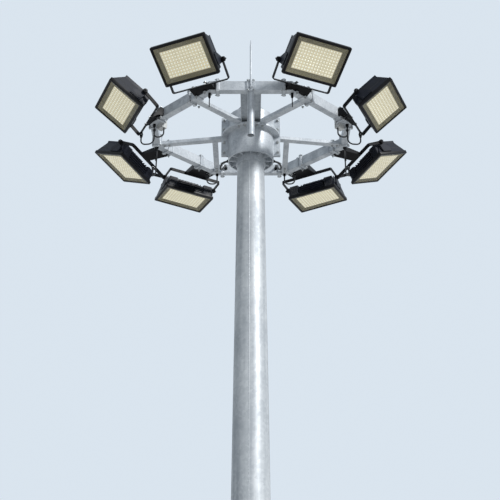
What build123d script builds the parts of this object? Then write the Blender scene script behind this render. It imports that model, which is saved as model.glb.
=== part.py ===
from build123d import *
import os
from math import cos, radians, sin, sqrt, tan

# High mast floodlight tower: a tapered steel mast on a bolted base flange, with a fixed
# octagonal lamp ring at its head and eight floodlights that tilt in their yokes.
# Millimetres, +Z up, origin at the middle of the base flange's underside.
# "Near" is the -Y side and "far" the +Y side of the ring.

# Mast
MAST_HEIGHT = 18000.0
MAST_TOP_DIAMETER = 228.0
MAST_TAPER = 0.024
UPPER_WALL = 6.0
LOWER_WALL = 8.0
SLIP_JOINT_LOW_Z = 7400.0
SLIP_JOINT_OVERLAP = 800.0
SLIP_CLEARANCE = 0.5
CAP_THICKNESS = 6.0
CAP_SKIRT = 30.0
CAP_CLEARANCE = 0.4

# Base flange and its gussets
FLANGE_DIAMETER = 920.0
FLANGE_THICKNESS = 45.0
FLANGE_HOLE_DIAMETER = 480.0
ANCHOR_EDGE_DISTANCE = 55.0
ANCHOR_HOLE_DIAMETER = 42.0
ANCHOR_COUNT = 12
GUSSET_THICKNESS = 16.0
GUSSET_HEIGHT = 260.0
GUSSET_TOP_WIDTH = 25.0
GUSSET_EDGE_MARGIN = 20.0

# Service door low on the near side
DOOR_MIDDLE_Z = 1150.0
DOOR_OPENING_WIDTH = 160.0
DOOR_OPENING_HEIGHT = 560.0
DOOR_FRAME_WIDTH = 26.0
DOOR_CORNER_RADIUS = 60.0
DOOR_FRAME_STAND_OUT = 22.0
DOOR_FRAME_DEPTH = 60.0
DOOR_PLATE_THICKNESS = 8.0
DOOR_PLATE_MARGIN = 6.0

# Lamp ring: a rectangle with its corners cut at 45 degrees, of box bar
RING_BELOW_TOP = 260.0
RING_HALF_WIDTH = 900.0
RING_HALF_DEPTH = 770.0
RING_CORNER_CUT = 550.0
BAR_WIDTH = 60.0
BAR_HEIGHT = 90.0
JOINT_PLATE_THICKNESS = 10.0
JOINT_PLATE_LIP = 16.0
CORNER_LEG_NEAR = 70.0
CORNER_LEG_DIAGONAL = 250.0
CORNER_LEG_SIDE = 60.0
CORNER_LEG_SIDE_DIAGONAL = 120.0

# Hub: two half drums clamped round the mast
HUB_RADIUS = 206.0
HUB_WALL = 10.0
HUB_BELOW_RING = 267.0
HUB_ABOVE_RING = 181.0
HUB_SPLIT_GAP = 6.0
WING_REACH = 268.0
WING_THICKNESS = 12.0
WING_FOOT_ABOVE_HUB_FOOT = 56.0
RIM_RADIUS = 263.0
RIM_THICKNESS = 16.0
COLLAR_WALL = 12.0
COLLAR_BELOW_HUB = 45.0
DIAPHRAGM_THICKNESS = 10.0
DIAPHRAGM_RECESS = 40.0
RIB_COUNT = 12
RIB_THICKNESS = 8.0
RIB_RECESS = 5.0
ROUND_CLEARANCE = 0.3

# Spokes between the hub and the ring
SPOKE_WIDTH = 60.0
SPOKE_HEIGHT = 30.0
SIDE_SPOKE_FROM_CORNER = 30.0
SIDE_SPOKE_HUB_Y = 52.0
NEAR_SPOKE_FROM_CORNER = 105.0
STRUT_X = 330.0
STRUT_WIDTH = 50.0
CHANNEL_MIDDLE_X = 55.0
CHANNEL_WIDTH = 66.0
CHANNEL_DEPTH = 40.0
CHANNEL_WALL = 6.0

# Drop tube and lightning rod in the middle of the near bar
DROP_TUBE_DIAMETER = 60.0
DROP_TUBE_WALL = 3.0
DROP_TUBE_LENGTH = 420.0
ROD_DIAMETER = 16.0
ROD_ABOVE_BAR = 400.0
ROD_BELOW_BAR_TOP = 80.0
ROD_POINT_LENGTH = 60.0
ROD_POINT_RADIUS = 2.0
ROD_CLAMP_WIDTH = 70.0
ROD_CLAMP_HEIGHT = 110.0
ROD_CLAMP_THICKNESS = 12.0

# Floodlights, in their own frame: X along the tilt axis, Y up the face, Z out of the face
LAMP_WIDTH = 510.0
LAMP_FACE_HEIGHT = 360.0
LAMP_FACE_FORWARD = 130.0
LAMP_FACE_RISE = 110.0
BEZEL_DEPTH = 26.0
BEZEL_RIM = 24.0
BEZEL_CORNER_RADIUS = 12.0
REFLECTOR_DEPTH = 16.0
BOARD_WIDTH = 384.0
BOARD_HEIGHT = 236.0
BODY_MARGIN = 8.0
BODY_DEPTH = 110.0
BODY_WALL = 6.0
BODY_BACK_WALL = 8.0
BODY_WIDTH_TAPER = 20.0
BODY_HEIGHT_TAPER = 66.0
FIN_COUNT = 15
FIN_THICKNESS = 5.0
FIN_HEIGHT = 26.0
DRIVER_WIDTH = 240.0
DRIVER_HEIGHT = 150.0
DRIVER_DEPTH = 40.0
END_BLOCK_WIDTH = 84.0
END_BLOCK_DEPTH = 106.0
LEDGE_COUNT = 4
LEDGE_SPACING = 21.0
LEDGE_THICKNESS = 5.0
LEDGE_GAP = 10.0
LUG_RADIUS = 24.0
LUG_THICKNESS = 14.0
LUG_ROOT_WIDTH = 100.0
LUG_ROOT_DEPTH = 44.0
LUG_ROOT_RISE = 40.0
LUG_ROOT_BEHIND_BEZEL = 6.0

# Yokes of flat bar, and the brackets that hold them to the ring
YOKE_INSIDE_WIDTH = 522.0
YOKE_THICKNESS = 8.0
YOKE_STRIP = 32.0
YOKE_ARM = 167.0
YOKE_BEND_RADIUS = 20.0
KNOB_RADIUS = 18.0
KNOB_LENGTH = 18.0
PIVOT_PIN_RADIUS = 8.0
PIVOT_CLEARANCE = 0.3
BRACKET_BELOW_BAR_TOP = 12.0
BRACKET_ABOVE_BAR_FOOT = 6.0
BRACKET_SHOULDER = 12.0
BRACKET_ROOT_DEPTH = 150.0

# How each pair of floodlights is set: place of its bracket along the diagonal bar, heading of
# the lamp from the near side, drop of the beam below level, roll of the tilt axis out of level,
# pitch of the yoke above level, reach of the yoke's crossbar out from the bar, its lift above
# the bar's middle and its shift along the tilt axis, and width of the bracket
LAMP_SETTINGS = {
    "near": {
        "along": 60.0, "heading": 25.5, "drop": 54.0, "roll": 0.0, "pitch": 42.0,
        "reach": 61.0, "lift": -18.0, "shift": 0.0, "width": 210.0,
    },
    "side_near": {
        "along": 94.0, "heading": 67.0, "drop": 55.0, "roll": 0.0, "pitch": 45.0,
        "reach": 74.0, "lift": -79.0, "shift": 0.0, "width": 170.0,
    },
    "side_far": {
        "along": 150.0, "heading": 118.5, "drop": 69.5, "roll": 10.5, "pitch": 27.0,
        "reach": 252.0, "lift": -15.0, "shift": -72.0, "width": 110.0,
    },
    "far": {
        "along": 125.0, "heading": 155.0, "drop": 90.0, "roll": 4.5, "pitch": -5.0,
        "reach": 284.0, "lift": 44.0, "shift": 0.0, "width": 220.0,
    },
}

# Cables, the clips on the brackets and the glands in the ring that hold their ends, and the
# junction boxes. Clips are placed by their distance out from the bar, along the crossbar and
# above the bar's middle, glands from the ring's corner.
CABLE_DIAMETER = 13.0
HUB_CABLE_DIAMETER = 18.0
ARC_SHARE = 0.45
CLIP_SIZE = 26.0
CLIP_HEIGHT = 36.0
GLAND_RADIUS = 12.0
GLAND_LENGTH = 18.0
RING_LOOP_DEPTH = 110.0
SIDE_LOOP_DEPTH = 152.0
INNER_LOOP_DEPTH = 133.0
CLIPS = {
    "side_near": {"out": 74.0, "across": -220.0, "lift": -109.0},
    "side_far": {"out": 252.0, "across": -150.0, "lift": -45.0},
    "far": {"out": 44.0, "across": -31.0, "lift": -60.0},
}
JUNCTION_BOX_WIDTH = 76.0
JUNCTION_BOX_DEPTH = 45.0
JUNCTION_BOX_HEIGHT = 90.0
JUNCTION_BOX_FROM_CORNER = 66.0
HUB_GLAND_ANGLE = 150.0
HUB_GLAND_ABOVE_FOOT = 72.0
HUB_GLAND_RADIUS = 14.0
HUB_GLAND_LENGTH = 60.0
HUB_GLAND_INSIDE_DRUM = 20.0
FAR_BAR_GLAND_FROM_CORNER = 105.0

# Derived heights
RING_Z = MAST_HEIGHT - RING_BELOW_TOP
BAR_TOP_Z = RING_Z + BAR_HEIGHT
HUB_FOOT_Z = RING_Z - HUB_BELOW_RING
HUB_TOP_Z = RING_Z + HUB_ABOVE_RING
RIM_TOP_Z = RING_Z
ANCHOR_CIRCLE = FLANGE_DIAMETER - 2 * ANCHOR_EDGE_DISTANCE

os.makedirs("parts", exist_ok=True)


def save(part, name):
    """Label a finished piece and write it."""
    part.label = name
    export_step(part, f"parts/{name}.step")


# Mast sections


def upper_radius(z):
    """Outside radius of the upper mast section at a height."""
    return MAST_TOP_DIAMETER / 2 + MAST_TAPER * (MAST_HEIGHT - z) / 2


def lower_radius(z):
    """Outside radius of the lower mast section, which fits inside the upper one."""
    return upper_radius(z) - UPPER_WALL - SLIP_CLEARANCE


SLIP_JOINT_TOP_Z = SLIP_JOINT_LOW_Z + SLIP_JOINT_OVERLAP
DOOR_FRAME_OUTER_WIDTH = DOOR_OPENING_WIDTH + 2 * DOOR_FRAME_WIDTH
DOOR_FRAME_OUTER_HEIGHT = DOOR_OPENING_HEIGHT + 2 * DOOR_FRAME_WIDTH
DOOR_FRAME_FRONT = lower_radius(DOOR_MIDDLE_Z) + DOOR_FRAME_STAND_OUT
DOOR_FRAME_BACK = DOOR_FRAME_FRONT - DOOR_FRAME_DEPTH

with BuildPart() as lower_mast:
    with BuildSketch(Plane.XZ):
        with BuildLine():
            Polyline(
                (lower_radius(FLANGE_THICKNESS) - LOWER_WALL, FLANGE_THICKNESS),
                (lower_radius(FLANGE_THICKNESS), FLANGE_THICKNESS),
                (lower_radius(SLIP_JOINT_TOP_Z), SLIP_JOINT_TOP_Z),
                (lower_radius(SLIP_JOINT_TOP_Z) - LOWER_WALL, SLIP_JOINT_TOP_Z),
                close=True,
            )
        make_face()
    revolve(axis=Axis.Z)
    with BuildSketch(Plane.XZ.offset(DOOR_FRAME_BACK)):
        with Locations((0, DOOR_MIDDLE_Z)):
            RectangleRounded(DOOR_FRAME_OUTER_WIDTH, DOOR_FRAME_OUTER_HEIGHT, DOOR_CORNER_RADIUS)
    extrude(amount=2 * DOOR_FRAME_DEPTH, mode=Mode.SUBTRACT)
save(lower_mast.part, "lower_mast")

with BuildPart() as upper_mast:
    with BuildSketch(Plane.XZ):
        with BuildLine():
            Polyline(
                (upper_radius(SLIP_JOINT_LOW_Z) - UPPER_WALL, SLIP_JOINT_LOW_Z),
                (upper_radius(SLIP_JOINT_LOW_Z), SLIP_JOINT_LOW_Z),
                (upper_radius(MAST_HEIGHT), MAST_HEIGHT),
                (upper_radius(MAST_HEIGHT) - UPPER_WALL, MAST_HEIGHT),
                close=True,
            )
        make_face()
    revolve(axis=Axis.Z)
save(upper_mast.part, "upper_mast")

CAP_RADIUS = upper_radius(MAST_HEIGHT - CAP_SKIRT) + CAP_CLEARANCE + CAP_THICKNESS
with BuildPart() as mast_cap:
    with BuildSketch(Plane.XY.offset(MAST_HEIGHT - CAP_SKIRT)):
        Circle(CAP_RADIUS)
        Circle(CAP_RADIUS - CAP_THICKNESS, mode=Mode.SUBTRACT)
    extrude(amount=CAP_SKIRT)
    with BuildSketch(Plane.XY.offset(MAST_HEIGHT)):
        Circle(CAP_RADIUS)
    extrude(amount=CAP_THICKNESS)
    fillet(mast_cap.edges().group_by(Axis.Z)[-1], radius=CAP_THICKNESS / 2)
save(mast_cap.part, "mast_cap")

# Base flange, gussets and door

with BuildPart() as base_flange:
    with BuildSketch(Plane.XY):
        Circle(FLANGE_DIAMETER / 2)
        Circle(FLANGE_HOLE_DIAMETER / 2, mode=Mode.SUBTRACT)
        with PolarLocations(ANCHOR_CIRCLE / 2, ANCHOR_COUNT):
            Circle(ANCHOR_HOLE_DIAMETER / 2, mode=Mode.SUBTRACT)
    extrude(amount=FLANGE_THICKNESS)
save(base_flange.part, "base_flange")

GUSSET_FOOT_Z = FLANGE_THICKNESS
GUSSET_TOP_Z = FLANGE_THICKNESS + GUSSET_HEIGHT
with BuildPart() as one_gusset:
    with BuildSketch(Plane.XZ):
        with BuildLine():
            Polyline(
                (lower_radius(GUSSET_FOOT_Z), GUSSET_FOOT_Z),
                (FLANGE_DIAMETER / 2 - GUSSET_EDGE_MARGIN, GUSSET_FOOT_Z),
                (FLANGE_DIAMETER / 2 - GUSSET_EDGE_MARGIN, GUSSET_FOOT_Z + GUSSET_TOP_WIDTH),
                (lower_radius(GUSSET_TOP_Z) + GUSSET_TOP_WIDTH, GUSSET_TOP_Z),
                (lower_radius(GUSSET_TOP_Z), GUSSET_TOP_Z),
                close=True,
            )
        make_face()
    extrude(amount=GUSSET_THICKNESS / 2, both=True)

with BuildPart() as base_gussets:
    with PolarLocations(0, ANCHOR_COUNT, start_angle=180 / ANCHOR_COUNT):
        add(one_gusset.part)
save(base_gussets.part, "base_gussets")

with BuildPart() as door_frame:
    with BuildSketch(Plane.XZ.offset(DOOR_FRAME_BACK)):
        with Locations((0, DOOR_MIDDLE_Z)):
            RectangleRounded(DOOR_FRAME_OUTER_WIDTH, DOOR_FRAME_OUTER_HEIGHT, DOOR_CORNER_RADIUS)
            RectangleRounded(
                DOOR_OPENING_WIDTH,
                DOOR_OPENING_HEIGHT,
                DOOR_CORNER_RADIUS - DOOR_FRAME_WIDTH,
                mode=Mode.SUBTRACT,
            )
    extrude(amount=DOOR_FRAME_DEPTH)
save(door_frame.part, "door_frame")

with BuildPart() as service_door:
    with BuildSketch(Plane.XZ.offset(DOOR_FRAME_FRONT)):
        with Locations((0, DOOR_MIDDLE_Z)):
            RectangleRounded(
                DOOR_FRAME_OUTER_WIDTH - 2 * DOOR_PLATE_MARGIN,
                DOOR_FRAME_OUTER_HEIGHT - 2 * DOOR_PLATE_MARGIN,
                DOOR_CORNER_RADIUS - DOOR_PLATE_MARGIN,
            )
    extrude(amount=DOOR_PLATE_THICKNESS)
save(service_door.part, "service_door")

# Hub


def hub_gland_plane(angle):
    """Where a cable gland goes through the drum's wall, looking outwards."""
    outwards = Vector(cos(radians(angle)), sin(radians(angle)))
    foot = outwards * (HUB_RADIUS - HUB_GLAND_INSIDE_DRUM)
    return Plane(origin=(foot.X, foot.Y, HUB_FOOT_Z + HUB_GLAND_ABOVE_FOOT), z_dir=outwards)


def hub_half(side):
    """One half of the clamp drum, with its wing plates and its half of the rim plate.

    side is -1 for the near half and 1 for the far half.
    """
    wing_middle_y = side * (HUB_SPLIT_GAP + WING_THICKNESS) / 2
    other_side_y = -side * (RIM_RADIUS - HUB_SPLIT_GAP / 2)
    with BuildPart() as half:
        with BuildSketch(Plane.XY.offset(HUB_FOOT_Z)):
            Circle(HUB_RADIUS)
        extrude(amount=HUB_BELOW_RING + HUB_ABOVE_RING)
        with BuildSketch(Plane.XY.offset(HUB_FOOT_Z + WING_FOOT_ABOVE_HUB_FOOT)):
            with Locations((0, wing_middle_y)):
                Rectangle(2 * WING_REACH, WING_THICKNESS)
        extrude(amount=HUB_BELOW_RING + HUB_ABOVE_RING - WING_FOOT_ABOVE_HUB_FOOT)
        with BuildSketch(Plane.XY.offset(RIM_TOP_Z - RIM_THICKNESS)):
            Circle(RIM_RADIUS)
        extrude(amount=RIM_THICKNESS)
        with BuildSketch(Plane.XY.offset(HUB_FOOT_Z)):
            Circle(HUB_RADIUS - HUB_WALL)
            with Locations((0, other_side_y)):
                Rectangle(2 * WING_REACH, 2 * RIM_RADIUS)
        extrude(amount=HUB_BELOW_RING + HUB_ABOVE_RING, mode=Mode.SUBTRACT)
        if side > 0:
            for angle in (HUB_GLAND_ANGLE, 180 - HUB_GLAND_ANGLE):
                with BuildSketch(hub_gland_plane(angle)):
                    Circle(HUB_GLAND_RADIUS + ROUND_CLEARANCE)
                extrude(amount=HUB_GLAND_LENGTH, mode=Mode.SUBTRACT)
    return half.part


save(hub_half(-1), "hub_half_near")
save(hub_half(1), "hub_half_far")

DIAPHRAGM_Z = HUB_FOOT_Z + DIAPHRAGM_RECESS
COLLAR_FOOT_Z = HUB_FOOT_Z - COLLAR_BELOW_HUB
COLLAR_BORE_RADIUS = upper_radius(COLLAR_FOOT_Z) + ROUND_CLEARANCE
HUB_BORE_FIT_RADIUS = HUB_RADIUS - HUB_WALL - ROUND_CLEARANCE
with BuildPart() as hub_base:
    with BuildSketch(Plane.XY.offset(DIAPHRAGM_Z)):
        Circle(HUB_BORE_FIT_RADIUS)
    extrude(amount=DIAPHRAGM_THICKNESS)
    with BuildSketch(Plane.XY.offset(COLLAR_FOOT_Z)):
        Circle(COLLAR_BORE_RADIUS + COLLAR_WALL)
    extrude(amount=DIAPHRAGM_Z - COLLAR_FOOT_Z)
    with BuildSketch(Plane.XY.offset(HUB_FOOT_Z + RIB_RECESS)):
        with PolarLocations(HUB_BORE_FIT_RADIUS / 2, RIB_COUNT):
            Rectangle(HUB_BORE_FIT_RADIUS, RIB_THICKNESS)
        Circle(HUB_BORE_FIT_RADIUS - ROUND_CLEARANCE, mode=Mode.INTERSECT)
    extrude(amount=DIAPHRAGM_RECESS - RIB_RECESS)
    with BuildSketch(Plane.XY.offset(COLLAR_FOOT_Z)):
        Circle(COLLAR_BORE_RADIUS)
    extrude(amount=HUB_BELOW_RING, mode=Mode.SUBTRACT)
save(hub_base.part, "hub_base")

with BuildPart() as hub_top_ring:
    with BuildSketch(Plane.XY.offset(HUB_TOP_Z - DIAPHRAGM_THICKNESS)):
        Circle(HUB_BORE_FIT_RADIUS)
        Circle(upper_radius(HUB_TOP_Z - DIAPHRAGM_THICKNESS) + ROUND_CLEARANCE, mode=Mode.SUBTRACT)
    extrude(amount=DIAPHRAGM_THICKNESS)
save(hub_top_ring.part, "hub_top_ring")

# Ring: bars, corner pieces and their bolted joint plates


def ring_corner_points():
    """Outer corners of the ring in plan, from the near left one clockwise seen from above."""
    quarter = [
        (RING_HALF_WIDTH - RING_CORNER_CUT, RING_HALF_DEPTH),
        (RING_HALF_WIDTH, RING_HALF_DEPTH - RING_CORNER_CUT),
    ]
    near_left = [(-x, -y) for x, y in quarter]
    far_left = [(-x, y) for x, y in reversed(quarter)]
    far_right = [(x, y) for x, y in quarter]
    near_right = [(x, -y) for x, y in reversed(quarter)]
    return [Vector(*point) for point in near_left + far_left + far_right + near_right]


CORNERS = ring_corner_points()
CORNER_LEGS = [
    (CORNER_LEG_NEAR, CORNER_LEG_DIAGONAL),
    (CORNER_LEG_SIDE_DIAGONAL, CORNER_LEG_SIDE),
]


def along_ring(index):
    """Unit direction of the ring's side that starts at a corner."""
    return (CORNERS[(index + 1) % 8] - CORNERS[index]).normalized()


def inward(index):
    """Unit direction from the outer face of a side towards the inside of the ring."""
    direction = along_ring(index)
    return Vector(direction.Y, -direction.X)


def inner_corner(index):
    """Inner corner of the ring at an outer corner."""
    bisector = (inward(index) + inward(index - 1)).normalized()
    return CORNERS[index] + bisector * (BAR_WIDTH / bisector.dot(inward(index)))


def corner_legs(index):
    """Lengths of a corner piece before and after its corner."""
    legs = CORNER_LEGS[index % 4 if index % 4 < 2 else 3 - index % 4]
    return legs if index % 4 < 2 else (legs[1], legs[0])


def plan_prism(points, foot_z, height):
    """An upright prism on a polygon given in plan."""
    with BuildPart() as prism:
        with BuildSketch(Plane.XY.offset(foot_z)):
            with BuildLine():
                Polyline(*[(point.X, point.Y) for point in points], close=True)
            make_face()
        extrude(amount=height)
    return prism.part


def side_band(index, start, end, outer=0.0, inner=0.0):
    """Plan corners of a stretch of one side, with lips outside and inside the bar."""
    direction = along_ring(index)
    first = CORNERS[index] + direction * start
    last = CORNERS[index] + direction * end
    inside = inward(index)
    return [
        first - inside * outer,
        last - inside * outer,
        last + inside * (BAR_WIDTH + inner),
        first + inside * (BAR_WIDTH + inner),
    ]


def side_length(index):
    """Length of one side of the ring between its outer corners."""
    return (CORNERS[(index + 1) % 8] - CORNERS[index]).length


def lipped_band(index, start, end):
    """A stretch of a side with a lip all round the bar."""
    lip = JOINT_PLATE_LIP
    return plan_prism(side_band(index, start, end, lip, lip), RING_Z - lip, BAR_HEIGHT + 2 * lip)


def joint_plate(index, start):
    """One joint plate on a side, from a distance after its first corner."""
    return lipped_band(index, start, start + JOINT_PLATE_THICKNESS)


def joint_zone(index, distance):
    """The space a pair of joint plates takes on a side, at a distance from its first corner."""
    return lipped_band(index, distance - JOINT_PLATE_THICKNESS, distance + JOINT_PLATE_THICKNESS)


def corner_piece(index):
    """The bent piece at a corner, with a joint plate at each end."""
    before, after = corner_legs(index)
    previous = (index - 1) % 8
    length = side_length(previous)
    outline = [
        CORNERS[index] - along_ring(previous) * before,
        CORNERS[index],
        CORNERS[index] + along_ring(index) * after,
        CORNERS[index] + along_ring(index) * after + inward(index) * BAR_WIDTH,
        inner_corner(index),
        CORNERS[index] - along_ring(previous) * before + inward(previous) * BAR_WIDTH,
    ]
    with BuildPart() as piece:
        add(plan_prism(outline, RING_Z, BAR_HEIGHT))
        add(joint_plate(previous, length - before))
        add(joint_plate(index, after - JOINT_PLATE_THICKNESS))
    return piece.part


def ring_bar(index):
    """The straight bar of one side, between joint plates of its own."""
    start = corner_legs(index)[1]
    end = side_length(index) - corner_legs((index + 1) % 8)[0]
    with BuildPart() as bar:
        add(plan_prism(side_band(index, start, end), RING_Z, BAR_HEIGHT))
        add(joint_plate(index, start))
        add(joint_plate(index, end - JOINT_PLATE_THICKNESS))
    return bar.part


def mirrored_pair(left_part):
    """A left piece and its mirror image on the right."""
    with BuildPart() as pair:
        add(left_part)
        mirror(about=Plane.YZ)
    return pair.part


save(ring_bar(7), "ring_bar_near")
save(ring_bar(3), "ring_bar_far")
save(mirrored_pair(ring_bar(0)), "ring_bars_near_diagonal")
save(mirrored_pair(ring_bar(1)), "ring_bars_side")
save(mirrored_pair(ring_bar(2)), "ring_bars_far_diagonal")

with BuildPart() as ring_corners:
    for index in range(8):
        add(corner_piece(index))
save(ring_corners.part, "ring_corners")

# Spokes, struts and the near channels, which stand on the hub's rim plate


def inside_ring(foot_z, height):
    """The space inside the ring's bars, for trimming what butts against them."""
    return plan_prism([inner_corner(index) for index in range(8)], foot_z, height)


def band_between(start, end, width):
    """Plan corners of a straight band between two points."""
    direction = (end - start).normalized()
    aside = Vector(-direction.Y, direction.X) * (width / 2)
    return [start - aside, end - aside, end + aside, start + aside]


DIAGONAL_INNER_SUM = RING_HALF_WIDTH + RING_HALF_DEPTH - RING_CORNER_CUT - BAR_WIDTH * sqrt(2)
NEAR_SPOKE_RING_X = RING_HALF_WIDTH - RING_CORNER_CUT + NEAR_SPOKE_FROM_CORNER
NEAR_SPOKE_START = Vector(-NEAR_SPOKE_RING_X, -(DIAGONAL_INNER_SUM - NEAR_SPOKE_RING_X))
NEAR_SPOKE_END = NEAR_SPOKE_START + Vector(NEAR_SPOKE_RING_X, NEAR_SPOKE_RING_X)
NEAR_SPOKE_RUN = (NEAR_SPOKE_END - NEAR_SPOKE_START).normalized()
CHANNEL_OUTER_X = CHANNEL_MIDDLE_X + CHANNEL_WIDTH / 2

with BuildPart() as near_spoke:
    near_spoke_plan = band_between(NEAR_SPOKE_START - NEAR_SPOKE_RUN * BAR_WIDTH, NEAR_SPOKE_END, SPOKE_WIDTH)
    add(plan_prism(near_spoke_plan, RIM_TOP_Z, SPOKE_HEIGHT))
    add(inside_ring(RIM_TOP_Z, SPOKE_HEIGHT), mode=Mode.INTERSECT)
    with BuildSketch(Plane.XY.offset(RIM_TOP_Z)):
        Circle(HUB_RADIUS + ROUND_CLEARANCE)
        Rectangle(2 * CHANNEL_OUTER_X, 4 * RING_HALF_DEPTH)
    extrude(amount=SPOKE_HEIGHT, mode=Mode.SUBTRACT)
save(mirrored_pair(near_spoke.part), "spokes_near")

SIDE_SPOKE_RING_Y = RING_HALF_DEPTH - RING_CORNER_CUT - SIDE_SPOKE_FROM_CORNER
SIDE_SPOKE_START = Vector(-RING_HALF_WIDTH, SIDE_SPOKE_RING_Y)
SIDE_SPOKE_END = Vector(-HUB_RADIUS / 2, SIDE_SPOKE_HUB_Y)
with BuildPart() as side_spoke:
    add(plan_prism(band_between(SIDE_SPOKE_START, SIDE_SPOKE_END, SPOKE_WIDTH), RIM_TOP_Z, SPOKE_HEIGHT))
    add(inside_ring(RIM_TOP_Z, SPOKE_HEIGHT), mode=Mode.INTERSECT)
    add(joint_zone(1, side_length(1) - CORNER_LEG_SIDE), mode=Mode.SUBTRACT)
    with BuildSketch(Plane.XY.offset(RIM_TOP_Z)):
        Circle(HUB_RADIUS + ROUND_CLEARANCE)
    extrude(amount=SPOKE_HEIGHT, mode=Mode.SUBTRACT)
save(mirrored_pair(side_spoke.part), "spokes_side")

with BuildPart() as far_strut:
    with BuildSketch(Plane.XY.offset(RIM_TOP_Z)):
        with Locations((-STRUT_X, RING_HALF_DEPTH / 2)):
            Rectangle(STRUT_WIDTH, RING_HALF_DEPTH)
    extrude(amount=SPOKE_HEIGHT)
    add(inside_ring(RIM_TOP_Z, SPOKE_HEIGHT), mode=Mode.INTERSECT)
    spoke_side = (SIDE_SPOKE_END - SIDE_SPOKE_START).normalized()
    trim_end = SIDE_SPOKE_END + spoke_side * RING_HALF_WIDTH
    aside = Vector(-spoke_side.Y, spoke_side.X) * (SPOKE_WIDTH / 2)
    toward_near = Vector(0, -RING_HALF_DEPTH)
    trim = [
        SIDE_SPOKE_START + aside,
        SIDE_SPOKE_START + aside + toward_near,
        trim_end + aside + toward_near,
        trim_end + aside,
    ]
    add(plan_prism(trim, RIM_TOP_Z, SPOKE_HEIGHT), mode=Mode.SUBTRACT)
save(mirrored_pair(far_strut.part), "struts_far")

CHANNEL_FAR_Y = -sqrt((HUB_RADIUS + ROUND_CLEARANCE) ** 2 - (CHANNEL_MIDDLE_X - CHANNEL_WIDTH / 2) ** 2)
with BuildPart() as near_channel:
    with BuildSketch(Plane.XY.offset(RIM_TOP_Z)):
        with Locations((-CHANNEL_MIDDLE_X, -RING_HALF_DEPTH / 2)):
            Rectangle(CHANNEL_WIDTH, RING_HALF_DEPTH)
    extrude(amount=CHANNEL_DEPTH)
    add(inside_ring(RIM_TOP_Z, CHANNEL_DEPTH), mode=Mode.INTERSECT)
    with BuildSketch(Plane.XY.offset(RIM_TOP_Z)):
        with Locations((-CHANNEL_MIDDLE_X, -RING_HALF_DEPTH / 2)):
            Rectangle(CHANNEL_WIDTH - 2 * CHANNEL_WALL, RING_HALF_DEPTH)
    extrude(amount=CHANNEL_DEPTH - CHANNEL_WALL, mode=Mode.SUBTRACT)
    with BuildSketch(Plane.XY.offset(RIM_TOP_Z)):
        Circle(HUB_RADIUS + ROUND_CLEARANCE)
    extrude(amount=CHANNEL_DEPTH, mode=Mode.SUBTRACT)
save(mirrored_pair(near_channel.part), "channels_near")

# Drop tube under the near bar, and the lightning rod clamped on its outer face

with BuildPart() as drop_tube:
    with BuildSketch(Plane.XY.offset(RING_Z - DROP_TUBE_LENGTH)):
        with Locations((0, -RING_HALF_DEPTH + BAR_WIDTH / 2)):
            Circle(DROP_TUBE_DIAMETER / 2)
            Circle(DROP_TUBE_DIAMETER / 2 - DROP_TUBE_WALL, mode=Mode.SUBTRACT)
    extrude(amount=DROP_TUBE_LENGTH)
save(drop_tube.part, "drop_tube")

ROD_Y = -RING_HALF_DEPTH - ROD_CLAMP_THICKNESS - ROD_DIAMETER / 2
CLAMP_MIDDLE_Z = RING_Z + BAR_HEIGHT / 2
with BuildPart() as rod_clamp:
    with BuildSketch(Plane.XZ.offset(RING_HALF_DEPTH)):
        with Locations((0, CLAMP_MIDDLE_Z)):
            Rectangle(ROD_CLAMP_WIDTH, ROD_CLAMP_HEIGHT)
    extrude(amount=ROD_CLAMP_THICKNESS)
save(rod_clamp.part, "rod_clamp")

with BuildPart() as lightning_rod:
    with BuildSketch(Plane.XZ.offset(-ROD_Y)):
        with BuildLine():
            Polyline(
                (0, BAR_TOP_Z - ROD_BELOW_BAR_TOP),
                (ROD_DIAMETER / 2, BAR_TOP_Z - ROD_BELOW_BAR_TOP),
                (ROD_DIAMETER / 2, BAR_TOP_Z + ROD_ABOVE_BAR - ROD_POINT_LENGTH),
                (ROD_POINT_RADIUS, BAR_TOP_Z + ROD_ABOVE_BAR),
                (0, BAR_TOP_Z + ROD_ABOVE_BAR),
                close=True,
            )
        make_face()
    revolve(axis=Axis((0, ROD_Y, 0), (0, 0, 1)))
save(lightning_rod.part, "lightning_rod")

# Floodlight housing: a finned tray that narrows to its back, with a driver box, two end blocks
# and ledges along its lower side, and two pivot lugs

BEZEL_BACK = LAMP_FACE_FORWARD - BEZEL_DEPTH
BODY_FRONT_WIDTH = LAMP_WIDTH - 2 * BODY_MARGIN
BODY_FRONT_HEIGHT = LAMP_FACE_HEIGHT - 2 * BODY_MARGIN
BODY_BACK_WIDTH = BODY_FRONT_WIDTH - 2 * BODY_WIDTH_TAPER
BODY_BACK_HEIGHT = BODY_FRONT_HEIGHT - 2 * BODY_HEIGHT_TAPER
BODY_BACK = BEZEL_BACK - BODY_DEPTH
LOWER_SIDE_Y = LAMP_FACE_RISE - BODY_FRONT_HEIGHT / 2
BLOCK_REACH = 2 * BODY_HEIGHT_TAPER
END_BLOCK_X = (BODY_BACK_WIDTH - END_BLOCK_WIDTH) / 2
LEDGE_LENGTH = BODY_BACK_WIDTH - 2 * END_BLOCK_WIDTH - 2 * LEDGE_GAP
YOKE_INNER_X = YOKE_INSIDE_WIDTH / 2
LUG_TIP_X = YOKE_INNER_X - PIVOT_CLEARANCE
LUG_ROOT_X = (BODY_BACK_WIDTH + BODY_WALL) / 2
LUG_ROOT_Z = BEZEL_BACK - LUG_ROOT_BEHIND_BEZEL - LUG_ROOT_DEPTH / 2

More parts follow.
